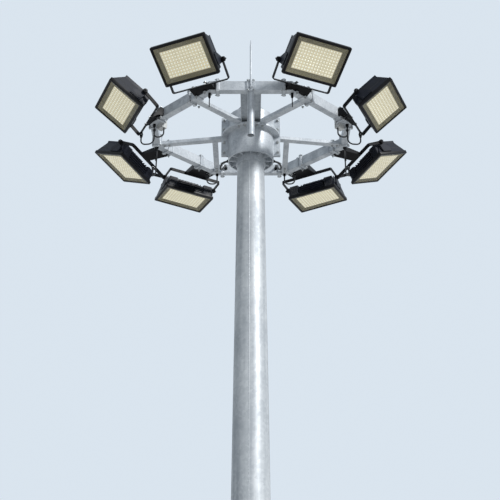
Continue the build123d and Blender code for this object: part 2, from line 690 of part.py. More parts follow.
with BuildPart() as housing:
    with BuildSketch(Plane.XY.offset(BEZEL_BACK)):
        with Locations((0, LAMP_FACE_RISE)):
            Rectangle(BODY_FRONT_WIDTH, BODY_FRONT_HEIGHT)
    with BuildSketch(Plane.XY.offset(BODY_BACK)):
        with Locations((0, LAMP_FACE_RISE)):
            Rectangle(BODY_BACK_WIDTH, BODY_BACK_HEIGHT)
    loft()
    with BuildSketch(Plane.XY.offset(BEZEL_BACK)):
        with Locations((0, LOWER_SIDE_Y + BLOCK_REACH / 2)):
            with GridLocations(2 * END_BLOCK_X, 0, 2, 1):
                Rectangle(END_BLOCK_WIDTH, BLOCK_REACH)
    extrude(amount=-END_BLOCK_DEPTH)
    for number in range(LEDGE_COUNT):
        with BuildSketch(Plane.XY.offset(BEZEL_BACK - (number + 1) * LEDGE_SPACING)):
            with Locations((0, LOWER_SIDE_Y + BLOCK_REACH / 2)):
                Rectangle(LEDGE_LENGTH, BLOCK_REACH)
        extrude(amount=LEDGE_THICKNESS)
    for side in (-1, 1):
        with BuildSketch(Plane.YZ.offset(side * LUG_TIP_X)):
            with Locations((LUG_ROOT_RISE, LUG_ROOT_Z)):
                Rectangle(LUG_ROOT_WIDTH, LUG_ROOT_DEPTH)
        extrude(amount=-side * (LUG_TIP_X - LUG_ROOT_X))
    with BuildSketch(Plane.XY.offset(BEZEL_BACK)):
        with Locations((0, LAMP_FACE_RISE)):
            Rectangle(BODY_FRONT_WIDTH - 2 * BODY_WALL, BODY_FRONT_HEIGHT - 2 * BODY_WALL)
    with BuildSketch(Plane.XY.offset(BODY_BACK + BODY_BACK_WALL)):
        with Locations((0, LAMP_FACE_RISE)):
            Rectangle(BODY_BACK_WIDTH - 2 * BODY_WALL, BODY_BACK_HEIGHT - 2 * BODY_WALL)
    loft(mode=Mode.SUBTRACT)
    fin_pitch = (BODY_BACK_WIDTH - FIN_THICKNESS) / (FIN_COUNT - 1)
    with BuildSketch(Plane.XY.offset(BODY_BACK)):
        with Locations((0, LAMP_FACE_RISE)):
            with GridLocations(fin_pitch, 0, FIN_COUNT, 1):
                Rectangle(FIN_THICKNESS, BODY_BACK_HEIGHT)
    extrude(amount=-FIN_HEIGHT)
    with BuildSketch(Plane.XY.offset(BODY_BACK)):
        with Locations((0, LAMP_FACE_RISE)):
            Rectangle(DRIVER_WIDTH, DRIVER_HEIGHT)
    extrude(amount=-DRIVER_DEPTH)
    for side in (-1, 1):
        with BuildSketch(Plane.YZ.offset(side * LUG_TIP_X)):
            Circle(LUG_RADIUS)
            with Locations((LUG_ROOT_RISE, LUG_ROOT_Z)):
                Rectangle(LUG_ROOT_WIDTH, LUG_ROOT_DEPTH)
            make_hull()
        extrude(amount=-side * LUG_THICKNESS)
        with BuildSketch(Plane.YZ.offset(side * LUG_TIP_X)):
            Circle(PIVOT_PIN_RADIUS + PIVOT_CLEARANCE)
        extrude(amount=-side * LUG_THICKNESS, mode=Mode.SUBTRACT)

# Front of the floodlight: bezel rim, sloping reflector and the board it frames

with BuildPart() as front:
    with BuildSketch(Plane.XY.offset(BEZEL_BACK)):
        with Locations((0, LAMP_FACE_RISE)):
            RectangleRounded(LAMP_WIDTH, LAMP_FACE_HEIGHT, BEZEL_CORNER_RADIUS)
    extrude(amount=BEZEL_DEPTH)
    with BuildSketch(Plane.XY.offset(LAMP_FACE_FORWARD)):
        with Locations((0, LAMP_FACE_RISE)):
            Rectangle(LAMP_WIDTH - 2 * BEZEL_RIM, LAMP_FACE_HEIGHT - 2 * BEZEL_RIM)
    with BuildSketch(Plane.XY.offset(LAMP_FACE_FORWARD - REFLECTOR_DEPTH)):
        with Locations((0, LAMP_FACE_RISE)):
            Rectangle(BOARD_WIDTH, BOARD_HEIGHT)
    loft(mode=Mode.SUBTRACT)

# Yoke in its own frame: X along the tilt axis, Y from the crossbar to the axis

YOKE_OUTER_X = YOKE_INNER_X + YOKE_THICKNESS
with BuildPart() as yoke:
    with BuildSketch(Plane.XY.offset(-YOKE_STRIP / 2)) as bent_strip:
        with Locations((0, -YOKE_ARM / 2)):
            Rectangle(2 * YOKE_OUTER_X, YOKE_ARM + 2 * YOKE_THICKNESS)
        with Locations((0, -YOKE_ARM / 2 + YOKE_THICKNESS)):
            Rectangle(2 * YOKE_INNER_X, YOKE_ARM + 2 * YOKE_THICKNESS, mode=Mode.SUBTRACT)
        fillet(bent_strip.vertices().group_by(Axis.Y)[1], radius=YOKE_BEND_RADIUS - YOKE_THICKNESS)
        fillet(bent_strip.vertices().group_by(Axis.Y)[0], radius=YOKE_BEND_RADIUS)
    extrude(amount=YOKE_STRIP)
    for side in (-1, 1):
        with BuildSketch(Plane.YZ.offset(side * YOKE_INNER_X)):
            Circle(YOKE_STRIP / 2)
        extrude(amount=side * YOKE_THICKNESS)
        with BuildSketch(Plane.YZ.offset(side * YOKE_OUTER_X)):
            Circle(KNOB_RADIUS)
        extrude(amount=side * KNOB_LENGTH)
        with BuildSketch(Plane.YZ.offset(side * YOKE_INNER_X)):
            Circle(PIVOT_PIN_RADIUS)
        extrude(amount=-side * LUG_THICKNESS)

# Each floodlight in its place


def lamp_place(setting):
    """Directions and planes of the floodlight of one setting on the left of the ring."""
    values = LAMP_SETTINGS[setting]
    corner = list(LAMP_SETTINGS).index(setting)
    side = corner - corner % 2
    along = along_ring(side) if side == corner else along_ring(side) * -1
    heading = radians(values["heading"])
    out = Vector(-sin(heading), -cos(heading), 0)
    roll = radians(values["roll"])
    level = Vector(-out.Y, out.X, 0)
    # turning about this axis by the right-hand rule tips the beam down
    axis = level * cos(roll) + Vector(0, 0, 1) * sin(roll)
    up = Vector(0, 0, 1) * cos(roll) - level * sin(roll)
    anchor = CORNERS[corner] + along * values["along"]
    bar_middle = Vector(anchor.X, anchor.Y, RING_Z + BAR_HEIGHT / 2)
    pitch = radians(values["pitch"])
    arm = out * cos(pitch) + up * sin(pitch)
    crossbar_middle = bar_middle + out * values["reach"] + up * values["lift"] + axis * values["shift"]
    pivot = crossbar_middle + arm * (YOKE_ARM + YOKE_THICKNESS)
    drop = radians(values["drop"])
    face_normal = out * cos(drop) - up * sin(drop)
    return {
        "side": side,
        "out": out,
        "axis": axis,
        "bar_middle": bar_middle,
        "yoke": Plane(origin=pivot, x_dir=axis, z_dir=axis.cross(arm)),
        "lamp": Plane(origin=pivot, x_dir=axis, z_dir=face_normal),
    }


def located(part, plane):
    """A copy of a part at a place."""
    with BuildPart() as copy:
        with Locations(plane):
            add(part)
    return copy.part


def bracket_profile(values):
    """Corners of a bracket seen from its end, out from the bar's middle and up from it."""
    pitch = radians(values["pitch"])
    crossbar = Vector(values["reach"], values["lift"])
    half_strip = Vector(-sin(pitch), cos(pitch)) * (YOKE_STRIP / 2)
    upper = crossbar + half_strip
    lower = crossbar - half_strip
    top = BAR_HEIGHT / 2 - BRACKET_BELOW_BAR_TOP
    foot = BRACKET_ABOVE_BAR_FOOT - BAR_HEIGHT / 2
    return [
        (-BRACKET_ROOT_DEPTH, top),
        (BRACKET_SHOULDER, top),
        (upper.X, upper.Y),
        (lower.X, lower.Y),
        (BRACKET_SHOULDER, foot),
        (-BRACKET_ROOT_DEPTH, foot),
    ]


def clip_point(setting):
    """Where a cable leaves the clip under a bracket: the middle of the clip's lower face."""
    place = lamp_place(setting)
    clip = CLIPS[setting]
    sideways = place["out"] * clip["out"] + place["axis"] * clip["across"]
    return place["bar_middle"] + sideways + Vector(0, 0, clip["lift"])


def clip_block(setting):
    """The block under a bracket or crossbar that holds a cable's end."""
    foot = clip_point(setting)
    with BuildPart() as block:
        with BuildSketch(Plane.XY.offset(foot.Z)):
            with Locations((foot.X, foot.Y)):
                Rectangle(CLIP_SIZE, CLIP_SIZE)
        extrude(amount=CLIP_HEIGHT)
    return block.part


def bracket_body(setting):
    """The bracket between a yoke's crossbar and the ring."""
    place = lamp_place(setting)
    values = LAMP_SETTINGS[setting]
    side = place["side"]
    with BuildPart() as body:
        end_view = Plane(origin=place["bar_middle"], x_dir=place["out"], z_dir=place["axis"] * -1)
        with BuildSketch(end_view):
            with BuildLine():
                Polyline(*bracket_profile(values), close=True)
            make_face()
        extrude(amount=values["width"] / 2, both=True)
        add(plan_prism(CORNERS, RING_Z - BAR_HEIGHT, 3 * BAR_HEIGHT), mode=Mode.SUBTRACT)
        add(joint_zone(side, corner_legs(side)[1]), mode=Mode.SUBTRACT)
        add(joint_zone(side, side_length(side) - corner_legs(side + 1)[0]), mode=Mode.SUBTRACT)
    return body.part


def save_pair(left_part, stem, piece):
    """Save a piece of a left floodlight, and its mirror image on the right."""
    with BuildPart() as right:
        mirror(left_part, about=Plane.YZ)
    save(left_part, f"{stem}_left_{piece}")
    save(right.part, f"{stem}_right_{piece}")


for setting in LAMP_SETTINGS:
    place = lamp_place(setting)
    with BuildPart() as bracket:
        add(located(yoke.part, place["yoke"]))
        add(bracket_body(setting))
        if setting in CLIPS:
            add(clip_block(setting))
    save_pair(located(housing.part, place["lamp"]), f"floodlight_{setting}", "housing")
    save_pair(located(front.part, place["lamp"]), f"floodlight_{setting}", "front")
    save(mirrored_pair(bracket.part), f"floodlight_{setting}_brackets")

# Junction boxes on the inner face of the ring's corners


def junction_box():
    """The box beside the near side corner, half of it below the bar."""
    along = along_ring(0) * -1
    inside = inward(0)
    middle = CORNERS[1] + along * JUNCTION_BOX_FROM_CORNER
    back = middle + inside * BAR_WIDTH
    front_face = back + inside * JUNCTION_BOX_DEPTH
    half = along * (JUNCTION_BOX_WIDTH / 2)
    plan = [back - half, front_face - half, front_face + half, back + half]
    return plan_prism(plan, RING_Z - JUNCTION_BOX_HEIGHT / 2, JUNCTION_BOX_HEIGHT)


save(mirrored_pair(junction_box()), "junction_boxes")

# Cables. Each route is a hand-laid list of points, the ends of which lie on a clip, a gland or
# a junction box.


def cable(points, diameter):
    """A cable through points, with arcs as large as its straight runs allow."""
    radii = []
    for before, corner, after in zip(points, points[1:], points[2:]):
        turn = (corner - before).get_angle(after - corner)
        run = min((corner - before).length, (after - corner).length)
        radii.append(ARC_SHARE * run / tan(radians(turn / 2)))
    print("cable arc radii:", [round(radius) for radius in radii])
    with BuildPart() as tube:
        with BuildLine() as route:
            FilletPolyline(*points, radius=radii)
        with BuildSketch(Plane(origin=points[0], z_dir=points[1] - points[0])):
            Circle(diameter / 2)
        sweep(path=route.line)
    return tube.part


def gland(place, length, radius):
    """A cable gland that stands on a surface."""
    with BuildPart() as body:
        with BuildSketch(place):
            Circle(radius)
        extrude(amount=length)
    return body.part


def ring_point(corner, x, y, z):
    """A point given from a corner of the ring and from the ring's underside."""
    return CORNERS[corner] + Vector(x, y, RING_Z + z)


def at_depth(point, depth):
    """The point above or below another at a depth under the ring."""
    return Vector(point.X, point.Y, RING_Z - depth)


def lower_end(foot):
    """Lower end of a gland that hangs from a point of the ring."""
    return foot - Vector(0, 0, GLAND_LENGTH)


side_near_clip = clip_point("side_near")
side_far_clip = clip_point("side_far")
far_clip = clip_point("far")
side_near_gland = ring_point(1, 30, 95, 0)
inner_gland = ring_point(1, 38, 15, 0)
side_far_gland = ring_point(2, 28, -20, 0)
far_gland = ring_point(3, 20, -28, 0)
box_entry = ring_point(1, 125, -5, -JUNCTION_BOX_HEIGHT / 2)

SIDE_NEAR_ROUTE = [
    side_near_clip,
    at_depth(side_near_clip, SIDE_LOOP_DEPTH),
    at_depth(side_near_gland, SIDE_LOOP_DEPTH),
    lower_end(side_near_gland),
]
INNER_ROUTE = [
    lower_end(inner_gland),
    at_depth(inner_gland, INNER_LOOP_DEPTH),
    at_depth(box_entry, INNER_LOOP_DEPTH),
    box_entry,
]
SIDE_FAR_ROUTE = [
    lower_end(side_far_gland),
    at_depth(side_far_gland, 85),
    ring_point(2, 20, 25, -140),
    ring_point(2, 10, 120, -160),
    ring_point(2, -3, 220, -160),
    side_far_clip + Vector(3, -36, -100),
    side_far_clip - Vector(0, 0, 55),
    side_far_clip,
]
FAR_ROUTE = [
    far_clip,
    at_depth(far_clip, RING_LOOP_DEPTH),
    at_depth(far_gland, RING_LOOP_DEPTH),
    lower_end(far_gland),
]

with BuildPart() as left_cables:
    for route_points in (SIDE_NEAR_ROUTE, INNER_ROUTE, SIDE_FAR_ROUTE, FAR_ROUTE):
        add(cable(route_points, CABLE_DIAMETER))
save(mirrored_pair(left_cables.part), "ring_cables")

# Cables from the hub's foot to the far bar
hub_gland_place = hub_gland_plane(HUB_GLAND_ANGLE)
hub_exit = hub_gland_place.origin + hub_gland_place.z_dir * HUB_GLAND_LENGTH
far_bar_foot = ring_point(3, FAR_BAR_GLAND_FROM_CORNER, -BAR_WIDTH, BAR_HEIGHT / 2)
far_bar_end = far_bar_foot - Vector(0, GLAND_LENGTH)
HUB_ROUTE = [
    hub_exit,
    hub_exit + hub_gland_place.z_dir * 52,
    Vector(-281, 235, RING_Z - 188),
    Vector(0.2 * far_bar_foot.X - 235, 330, RING_Z - 165),
    Vector(0.4 * far_bar_foot.X - 177, 430, RING_Z - 115),
    Vector(0.8 * far_bar_foot.X - 64, 515, RING_Z - 50),
    Vector(far_bar_foot.X - 4, 585, RING_Z + 8),
    far_bar_end - Vector(0, 52),
    far_bar_end,
]
save(mirrored_pair(cable(HUB_ROUTE, HUB_CABLE_DIAMETER)), "hub_cables")

with BuildPart() as left_glands:
    for foot in (side_near_gland, inner_gland, side_far_gland, far_gland):
        add(gland(Plane(origin=foot, z_dir=(0, 0, -1)), GLAND_LENGTH, GLAND_RADIUS))
    add(gland(hub_gland_place, HUB_GLAND_LENGTH, HUB_GLAND_RADIUS))
    add(gland(Plane(origin=far_bar_foot, z_dir=(0, -1, 0)), GLAND_LENGTH, HUB_GLAND_RADIUS))
save(mirrored_pair(left_glands.part), "glands")
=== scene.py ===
"""Looks, light and camera for the high mast floodlight tower.

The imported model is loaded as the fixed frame. The classes below dress its nodes and add the small
pieces: bolts, welds, LEDs, glass, ribs and clips. Everything is in metres, +Z up, with the near
side at -Y.
"""

import logging
import math
from dataclasses import dataclass
from enum import Enum
from functools import cache
from typing import Iterable, Sequence

import bmesh
import bpy
from mathutils import Matrix, Vector

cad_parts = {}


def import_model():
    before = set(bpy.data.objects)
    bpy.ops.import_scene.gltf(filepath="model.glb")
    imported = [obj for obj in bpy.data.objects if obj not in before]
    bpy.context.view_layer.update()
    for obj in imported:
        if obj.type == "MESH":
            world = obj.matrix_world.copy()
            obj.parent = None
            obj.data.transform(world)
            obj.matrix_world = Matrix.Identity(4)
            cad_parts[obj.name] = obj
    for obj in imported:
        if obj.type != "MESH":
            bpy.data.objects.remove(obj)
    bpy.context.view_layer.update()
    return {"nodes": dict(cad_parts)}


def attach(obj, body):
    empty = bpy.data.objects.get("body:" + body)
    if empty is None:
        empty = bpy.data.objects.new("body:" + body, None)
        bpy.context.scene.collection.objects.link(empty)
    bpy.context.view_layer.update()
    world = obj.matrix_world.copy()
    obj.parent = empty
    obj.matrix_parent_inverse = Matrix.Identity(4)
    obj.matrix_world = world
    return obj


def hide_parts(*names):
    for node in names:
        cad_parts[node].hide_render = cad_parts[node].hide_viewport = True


LOG = logging.getLogger("tower")
ROOT = "mast_and_ring"
UP = Vector((0, 0, 1))
DOWN = Vector((0, 0, -1))
NEAR_WAY = Vector((0, -1, 0))
BOTH = (-1, 1)

Colour = tuple[float, float, float, float]
Socket = bpy.types.NodeSocket


class Slot(Enum):
    """Material slots of the record, handed to each new piece; nothing reads them, and the pieces get their finishes
    directly.
    """

    MAST = "mast_steel"
    ZINC = "galvanised"
    BLACK = "bracket_black"
    HOUSING = "lamp_housing"
    FRONT = "lamp_front"
    CABLE = "cable_black"
    BOX = "junction_box"


class Side(Enum):
    """Left and right halves of the ring, as the sign of X."""

    LEFT = -1
    RIGHT = 1

    def mirror(self) -> Vector:
        """Factors that take a point of the left half to this half."""
        return Vector((-self.value, 1, 1))


def tint(red: float, green: float, blue: float) -> Colour:
    """Turn a colour written as screen values from 0 to 255 into a linear one.

    Args:
        red: Red value.
        green: Green value.
        blue: Blue value.

    Returns:
        The linear colour with full alpha.
    """

    def linear(value: float) -> float:
        """One channel made linear."""
        share = value / 255
        return share / 12.92 if share <= 0.04045 else ((share + 0.055) / 1.055) ** 2.4

    return (linear(red), linear(green), linear(blue), 1.0)


# Shared sizes, the same as the part's source


@dataclass(frozen=True)
class TowerSizes:
    """Sizes of mast, ring and hub in metres."""

    height: float = 18.0
    top_diameter: float = 0.228
    taper: float = 0.024
    slip_low: float = 7.4
    wall: float = 0.006
    slip_gap: float = 0.0005
    ring_z: float = 17.74
    bar_width: float = 0.060
    bar_height: float = 0.090
    half_width: float = 0.900
    half_depth: float = 0.770
    corner_cut: float = 0.550
    leg_near: float = 0.070
    leg_diagonal: float = 0.250
    leg_side: float = 0.060
    leg_side_diagonal: float = 0.120
    plate: float = 0.010
    lip: float = 0.016
    hub_radius: float = 0.206
    hub_below: float = 0.267
    flange_thickness: float = 0.045
    anchor_circle: float = 0.810
    anchor_count: int = 12

    def upper_radius(self, z: float) -> float:
        """Outside radius of the upper mast section at a height."""
        return self.top_diameter / 2 + self.taper * (self.height - z) / 2

    def lower_radius(self, z: float) -> float:
        """Outside radius of the lower mast section at a height."""
        return self.upper_radius(z) - self.wall - self.slip_gap

    def corners(self) -> list[Vector]:
        """Outer corners of the ring in plan, clockwise from the near left one."""
        x_in = self.half_width - self.corner_cut
        y_in = self.half_depth - self.corner_cut
        left = [(-x_in, -self.half_depth), (-self.half_width, -y_in), (-self.half_width, y_in),
                (-x_in, self.half_depth)]
        return [Vector((x, y, 0.0)) for x, y in left + [(-x, y) for x, y in reversed(left)]]

    def side_run(self, index: int) -> Vector:
        """The ring's side that starts at a corner, from that corner to the next one."""
        points = self.corners()
        return points[(index + 1) % 8] - points[index]

    def along(self, index: int) -> Vector:
        """Unit direction of a side."""
        return self.side_run(index).normalized()

    def inward(self, index: int) -> Vector:
        """Unit direction from a side's outer face to the inside of the ring."""
        direction = self.along(index)
        return Vector((direction.y, -direction.x, 0.0))

    def legs(self, index: int) -> tuple[float, float]:
        """Lengths of the corner piece before and after a corner."""
        near = (self.leg_near, self.leg_diagonal)
        side = (self.leg_side_diagonal, self.leg_side)
        return (near, side, side[::-1], near[::-1])[index % 4]

    def joints(self) -> list[tuple[Vector, Vector, Vector]]:
        """Each bolted joint of the ring, as the bar's middle there, its direction and the way inward."""
        found: list[tuple[Vector, Vector, Vector]] = []
        for index in range(8):
            along, inward = self.along(index), self.inward(index)
            corner = self.corners()[index] + inward * (self.bar_width / 2)
            corner += UP * (self.ring_z + self.bar_height / 2)
            for distance in (self.legs(index)[1], self.side_run(index).length - self.legs((index + 1) % 8)[0]):
                found.append((corner + along * distance, along, inward))
        return found


SIZES = TowerSizes()


# Shader groups and finishes


class NodeSheet:
    """A node tree with short calls for adding and joining nodes."""

    def __init__(self, tree: bpy.types.NodeTree) -> None:
        """Keep the tree that nodes are added to."""
        self.tree = tree

    def feed(self, target: Socket, value: object) -> None:
        """Link a socket to an input, or set the input to a plain value."""
        if isinstance(value, Socket):
            self.tree.links.new(value, target)
        else:
            target.default_value = value

    def add(self, kind: str, inputs: dict[str | int, object] | None = None, **settings: object) -> bpy.types.Node:
        """Add a node.

        Args:
            kind: The node's type name.
            inputs: A socket or a value for each input, by name or number.
            **settings: Properties to set on it.

        Returns:
            The new node.
        """
        node = self.tree.nodes.new(kind)
        for key, value in settings.items():
            setattr(node, key, value)
        for key, value in (inputs or {}).items():
            self.feed(node.inputs[key], value)
        return node

    def place(self) -> Socket:
        """The object's own coordinates."""
        return self.add("ShaderNodeTexCoord").outputs["Object"]

    def noise(self, vector: Socket, scale: object, detail: float = 2.0, roughness: float = 0.5) -> Socket:
        """Add a noise texture.

        Args:
            vector: Coordinates.
            scale: A socket or a number.
            detail: Octaves of the noise.
            roughness: Weight of the finer octaves.

        Returns:
            The noise's value.
        """
        inputs = {"Vector": vector, "Scale": scale, "Detail": detail, "Roughness": roughness}
        return self.add("ShaderNodeTexNoise", inputs).outputs["Fac"]

    def maths(self, operation: str, first: object, second: object = 0.0, clamp: bool = False) -> Socket:
        """Add a Math node.

        Args:
            operation: The node's operation.
            first: A socket or a number.
            second: A socket or a number.
            clamp: Whether the result is kept from 0 to 1.

        Returns:
            The result's socket.
        """
        return self.add("ShaderNodeMath", {0: first, 1: second}, operation=operation, use_clamp=clamp).outputs[0]

    def blend(self, factor: Socket, first: object, second: object) -> Socket:
        """Mix two colours.

        Args:
            factor: Share of the second colour.
            first: A socket or a colour.
            second: A socket or a colour.

        Returns:
            The mixed colour's socket.
        """
        return self.add("ShaderNodeMix", {0: factor, 6: first, 7: second}, data_type="RGBA").outputs[2]

    def spread(self, value: Socket, low: float, high: float, to_low: float = 0.0, to_high: float = 1.0) -> Socket:
        """Remap a value from one range to another, kept inside the new one.

        Args:
            value: The socket to remap.
            low: Value that becomes to_low.
            high: Value that becomes to_high.
            to_low: New low end.
            to_high: New high end.

        Returns:
            The remapped socket.
        """
        inputs = {"Value": value, "From Min": low, "From Max": high, "To Min": to_low, "To Max": to_high}
        return self.add("ShaderNodeMapRange", inputs).outputs["Result"]


class GroupSheet(NodeSheet):
    """A shader group being built, with its own inputs and outputs."""

    def __init__(self, name: str, inputs: dict[str, float | None], outputs: dict[str, str]) -> None:
        """Open the group.

        Args:
            name: The group's name.
            inputs: Default of each number by name, and None for a colour.
            outputs: Socket type of each output by name.
        """
        super().__init__(bpy.data.node_groups.new(name, "ShaderNodeTree"))
        for label, default in inputs.items():
            kind = "NodeSocketColor" if default is None else "NodeSocketFloat"
            socket = self.tree.interface.new_socket(label, in_out="INPUT", socket_type=kind)
            if default is not None:
                socket.default_value = default
        for label, kind in outputs.items():
            self.tree.interface.new_socket(label, in_out="OUTPUT", socket_type=kind)
        self.given = self.add("NodeGroupInput").outputs
        self.leave = self.add("NodeGroupOutput").inputs

    def close(self, **results: Socket) -> bpy.types.NodeTree:
        """Join the results to the outputs and return the group."""
        for label, socket in results.items():
            self.feed(self.leave[label], socket)
        return self.tree


@cache
def edge_wear_group() -> bpy.types.NodeTree:
    """Rounded edges: a softened normal, and a mask of worn edges broken up by noise."""
    sheet = GroupSheet("edge_wear", {"Radius": 0.002, "Breakup": 60.0, "Amount": 1.0},
                       {"Mask": "NodeSocketFloat", "Normal": "NodeSocketVector"})
    soft = sheet.add("ShaderNodeBevel", {"Radius": sheet.given["Radius"]}, samples=6).outputs["Normal"]
    flat = sheet.add("ShaderNodeNewGeometry").outputs["Normal"]
    facing = sheet.add("ShaderNodeVectorMath", {0: soft, 1: flat}, operation="DOT_PRODUCT").outputs["Value"]
    edge = sheet.spread(sheet.maths("SUBTRACT", 1.0, facing), 0.02, 0.22)
    broken = sheet.spread(sheet.noise(sheet.place(), sheet.given["Breakup"], 6.0), 0.38, 0.62)
    worn = sheet.maths("MULTIPLY", edge, broken)
    return sheet.close(Mask=sheet.maths("MULTIPLY", worn, sheet.given["Amount"], clamp=True), Normal=soft)


@cache
def zinc_group() -> bpy.types.NodeTree:
    """Hot-dip zinc: crystal spangle, cloudy patches and rain streaks."""
    sheet = GroupSheet("zinc", {"Pale": None, "Dark": None, "Spangle": 70.0, "Cloud": 5.0, "Streak": 0.5},
                       {"Color": "NodeSocketColor", "Mask": "NodeSocketFloat", "Height": "NodeSocketFloat"})
    place = sheet.place()
    crystal = sheet.add("ShaderNodeTexVoronoi", {"Vector": place, "Scale": sheet.given["Spangle"]}, feature="F1")
    grey = sheet.add("ShaderNodeRGBToBW", {"Color": crystal.outputs["Color"]}).outputs["Val"]
    cloud = sheet.noise(place, sheet.given["Cloud"], 7.0, 0.6)
    stretch = sheet.add("ShaderNodeMapping", {"Vector": place, "Scale": (22.0, 22.0, 0.9)}).outputs["Vector"]
    rain = sheet.noise(stretch, 1.0, 5.0)
    crystals = sheet.spread(grey, 0.1, 0.9, 0.0, 0.35)
    clouds = sheet.spread(cloud, 0.32, 0.68, 0.0, 0.65)
    streaks = sheet.maths("MULTIPLY", sheet.spread(rain, 0.45, 0.7), sheet.given["Streak"])
    mask = sheet.maths("ADD", sheet.maths("ADD", crystals, clouds), streaks, clamp=True)
    colour = sheet.blend(mask, sheet.given["Pale"], sheet.given["Dark"])
    height = sheet.maths("ADD", crystals, sheet.maths("MULTIPLY", cloud, 0.7))
    return sheet.close(Color=colour, Mask=mask, Height=height)


@cache
def cast_grain_group() -> bpy.types.NodeTree:
    """Fine grain of a coated casting, with larger soft unevenness."""
    sheet = GroupSheet("cast_grain", {"Grain": 900.0, "Swell": 14.0},
                       {"Height": "NodeSocketFloat", "Mask": "NodeSocketFloat"})
    place = sheet.place()
    fine = sheet.noise(place, sheet.given["Grain"], 3.0)
    swell = sheet.noise(place, sheet.given["Swell"], 5.0)
    height = sheet.maths("ADD", fine, sheet.maths("MULTIPLY", swell, 0.6))
    return sheet.close(Height=height, Mask=sheet.spread(swell, 0.35, 0.65))


@cache
def dust_group() -> bpy.types.NodeTree:
    """Dust that settles on faces that look up, in patches."""
    sheet = GroupSheet("dust", {"Amount": 0.5, "Patch": 9.0}, {"Mask": "NodeSocketFloat"})
    facing = sheet.add("ShaderNodeNewGeometry").outputs["Normal"]
    height = sheet.add("ShaderNodeSeparateXYZ", {"Vector": facing}).outputs["Z"]
    patches = sheet.spread(sheet.noise(sheet.place(), sheet.given["Patch"], 6.0), 0.35, 0.65, 0.25, 1.0)
    settled = sheet.maths("MULTIPLY", sheet.spread(height, 0.1, 0.95), patches)
    return sheet.close(Mask=sheet.maths("MULTIPLY", settled, sheet.given["Amount"], clamp=True))


class MaterialSheet(NodeSheet):
    """A material's node tree with its Principled shader."""

    def __init__(self, name: str) -> None:
        """Make the material and find its shader."""
        self.material = bpy.data.materials.new(name)
        self.material.use_nodes = True
        super().__init__(self.material.node_tree)
        self.shader = self.material.node_tree.nodes["Principled BSDF"]

    def group(self, tree: bpy.types.NodeTree, **values: object) -> bpy.types.bpy_prop_collection:
        """Place a shader group with its own input values, and return its outputs."""
        return self.add("ShaderNodeGroup", values, node_tree=tree).outputs

    def paint(self, inputs: dict[str, object]) -> None:
        """Give the shader's inputs their sockets or values."""
        for label, value in inputs.items():
            self.feed(self.shader.inputs[label], value)

    def bump(self, height: Socket, strength: float, distance: float, normal: Socket | None = None) -> None:
        """Give the shader a bumped normal.

        Args:
            height: The height's socket.
            strength: Bump strength.
            distance: Bump distance in metres.
            normal: A normal to start from.
        """
        inputs = {"Strength": strength, "Distance": distance, "Height": height}
        if normal is not None:
            inputs["Normal"] = normal
        self.paint({"Normal": self.add("ShaderNodeBump", inputs).outputs["Normal"]})


@dataclass(frozen=True)
class GalvanisedFinish:
    """Hot-dip galvanised steel."""

    name: str
    pale: Colour
    dark: Colour
    spangle: float
    cloud: float
    streak: float = 0.0
    metallic: float = 0.25
    roughness: tuple[float, float] = (0.36, 0.56)
    edge: float = 0.0025

    def material(self) -> bpy.types.Material:
        """Build the finish as a material."""
        sheet = MaterialSheet(self.name)
        zinc = sheet.group(zinc_group(), Pale=self.pale, Dark=self.dark, Spangle=self.spangle, Cloud=self.cloud,
                           Streak=self.streak)
        wear = sheet.group(edge_wear_group(), Radius=self.edge, Breakup=45.0, Amount=0.6)
        sheet.paint({
            "Base Color": sheet.blend(wear["Mask"], zinc["Color"], tint(225, 230, 233)),
            "Roughness": sheet.spread(zinc["Mask"], 0.0, 1.0, *self.roughness),
            "Metallic": self.metallic,
        })
        sheet.bump(zinc["Height"], 0.25, 0.0006, wear["Normal"])
        return sheet.material


@dataclass(frozen=True)
class CoatedFinish:
    """Powder coated or painted metal with worn edges and settled dust."""

    name: str
    base: Colour
    second: Colour
    worn: Colour
    dusty: Colour = (0.30, 0.28, 0.25, 1.0)
    dust: float = 0.03
    wear: float = 0.5
    roughness: tuple[float, float] = (0.38, 0.52)
    edge: float = 0.0007
    grain: float = 0.15
    specular: float = 0.5

    def material(self) -> bpy.types.Material:
        """Build the finish as a material."""
        sheet = MaterialSheet(self.name)
        grain = sheet.group(cast_grain_group(), Grain=900.0, Swell=14.0)
        wear = sheet.group(edge_wear_group(), Radius=self.edge, Breakup=110.0, Amount=self.wear)
        dust = sheet.group(dust_group(), Amount=self.dust, Patch=11.0)["Mask"]
        coat = sheet.blend(grain["Mask"], self.base, self.second)
        rubbed = sheet.blend(wear["Mask"], coat, self.worn)
        rough = sheet.spread(grain["Mask"], 0.0, 1.0, *self.roughness)
        sheet.paint({
            "Base Color": sheet.blend(dust, rubbed, self.dusty),
            "Roughness": sheet.maths("ADD", rough, sheet.maths("MULTIPLY", dust, 0.4), clamp=True),
            "Specular IOR Level": self.specular,
        })
        sheet.bump(grain["Height"], self.grain, 0.0004, wear["Normal"])
        return sheet.material


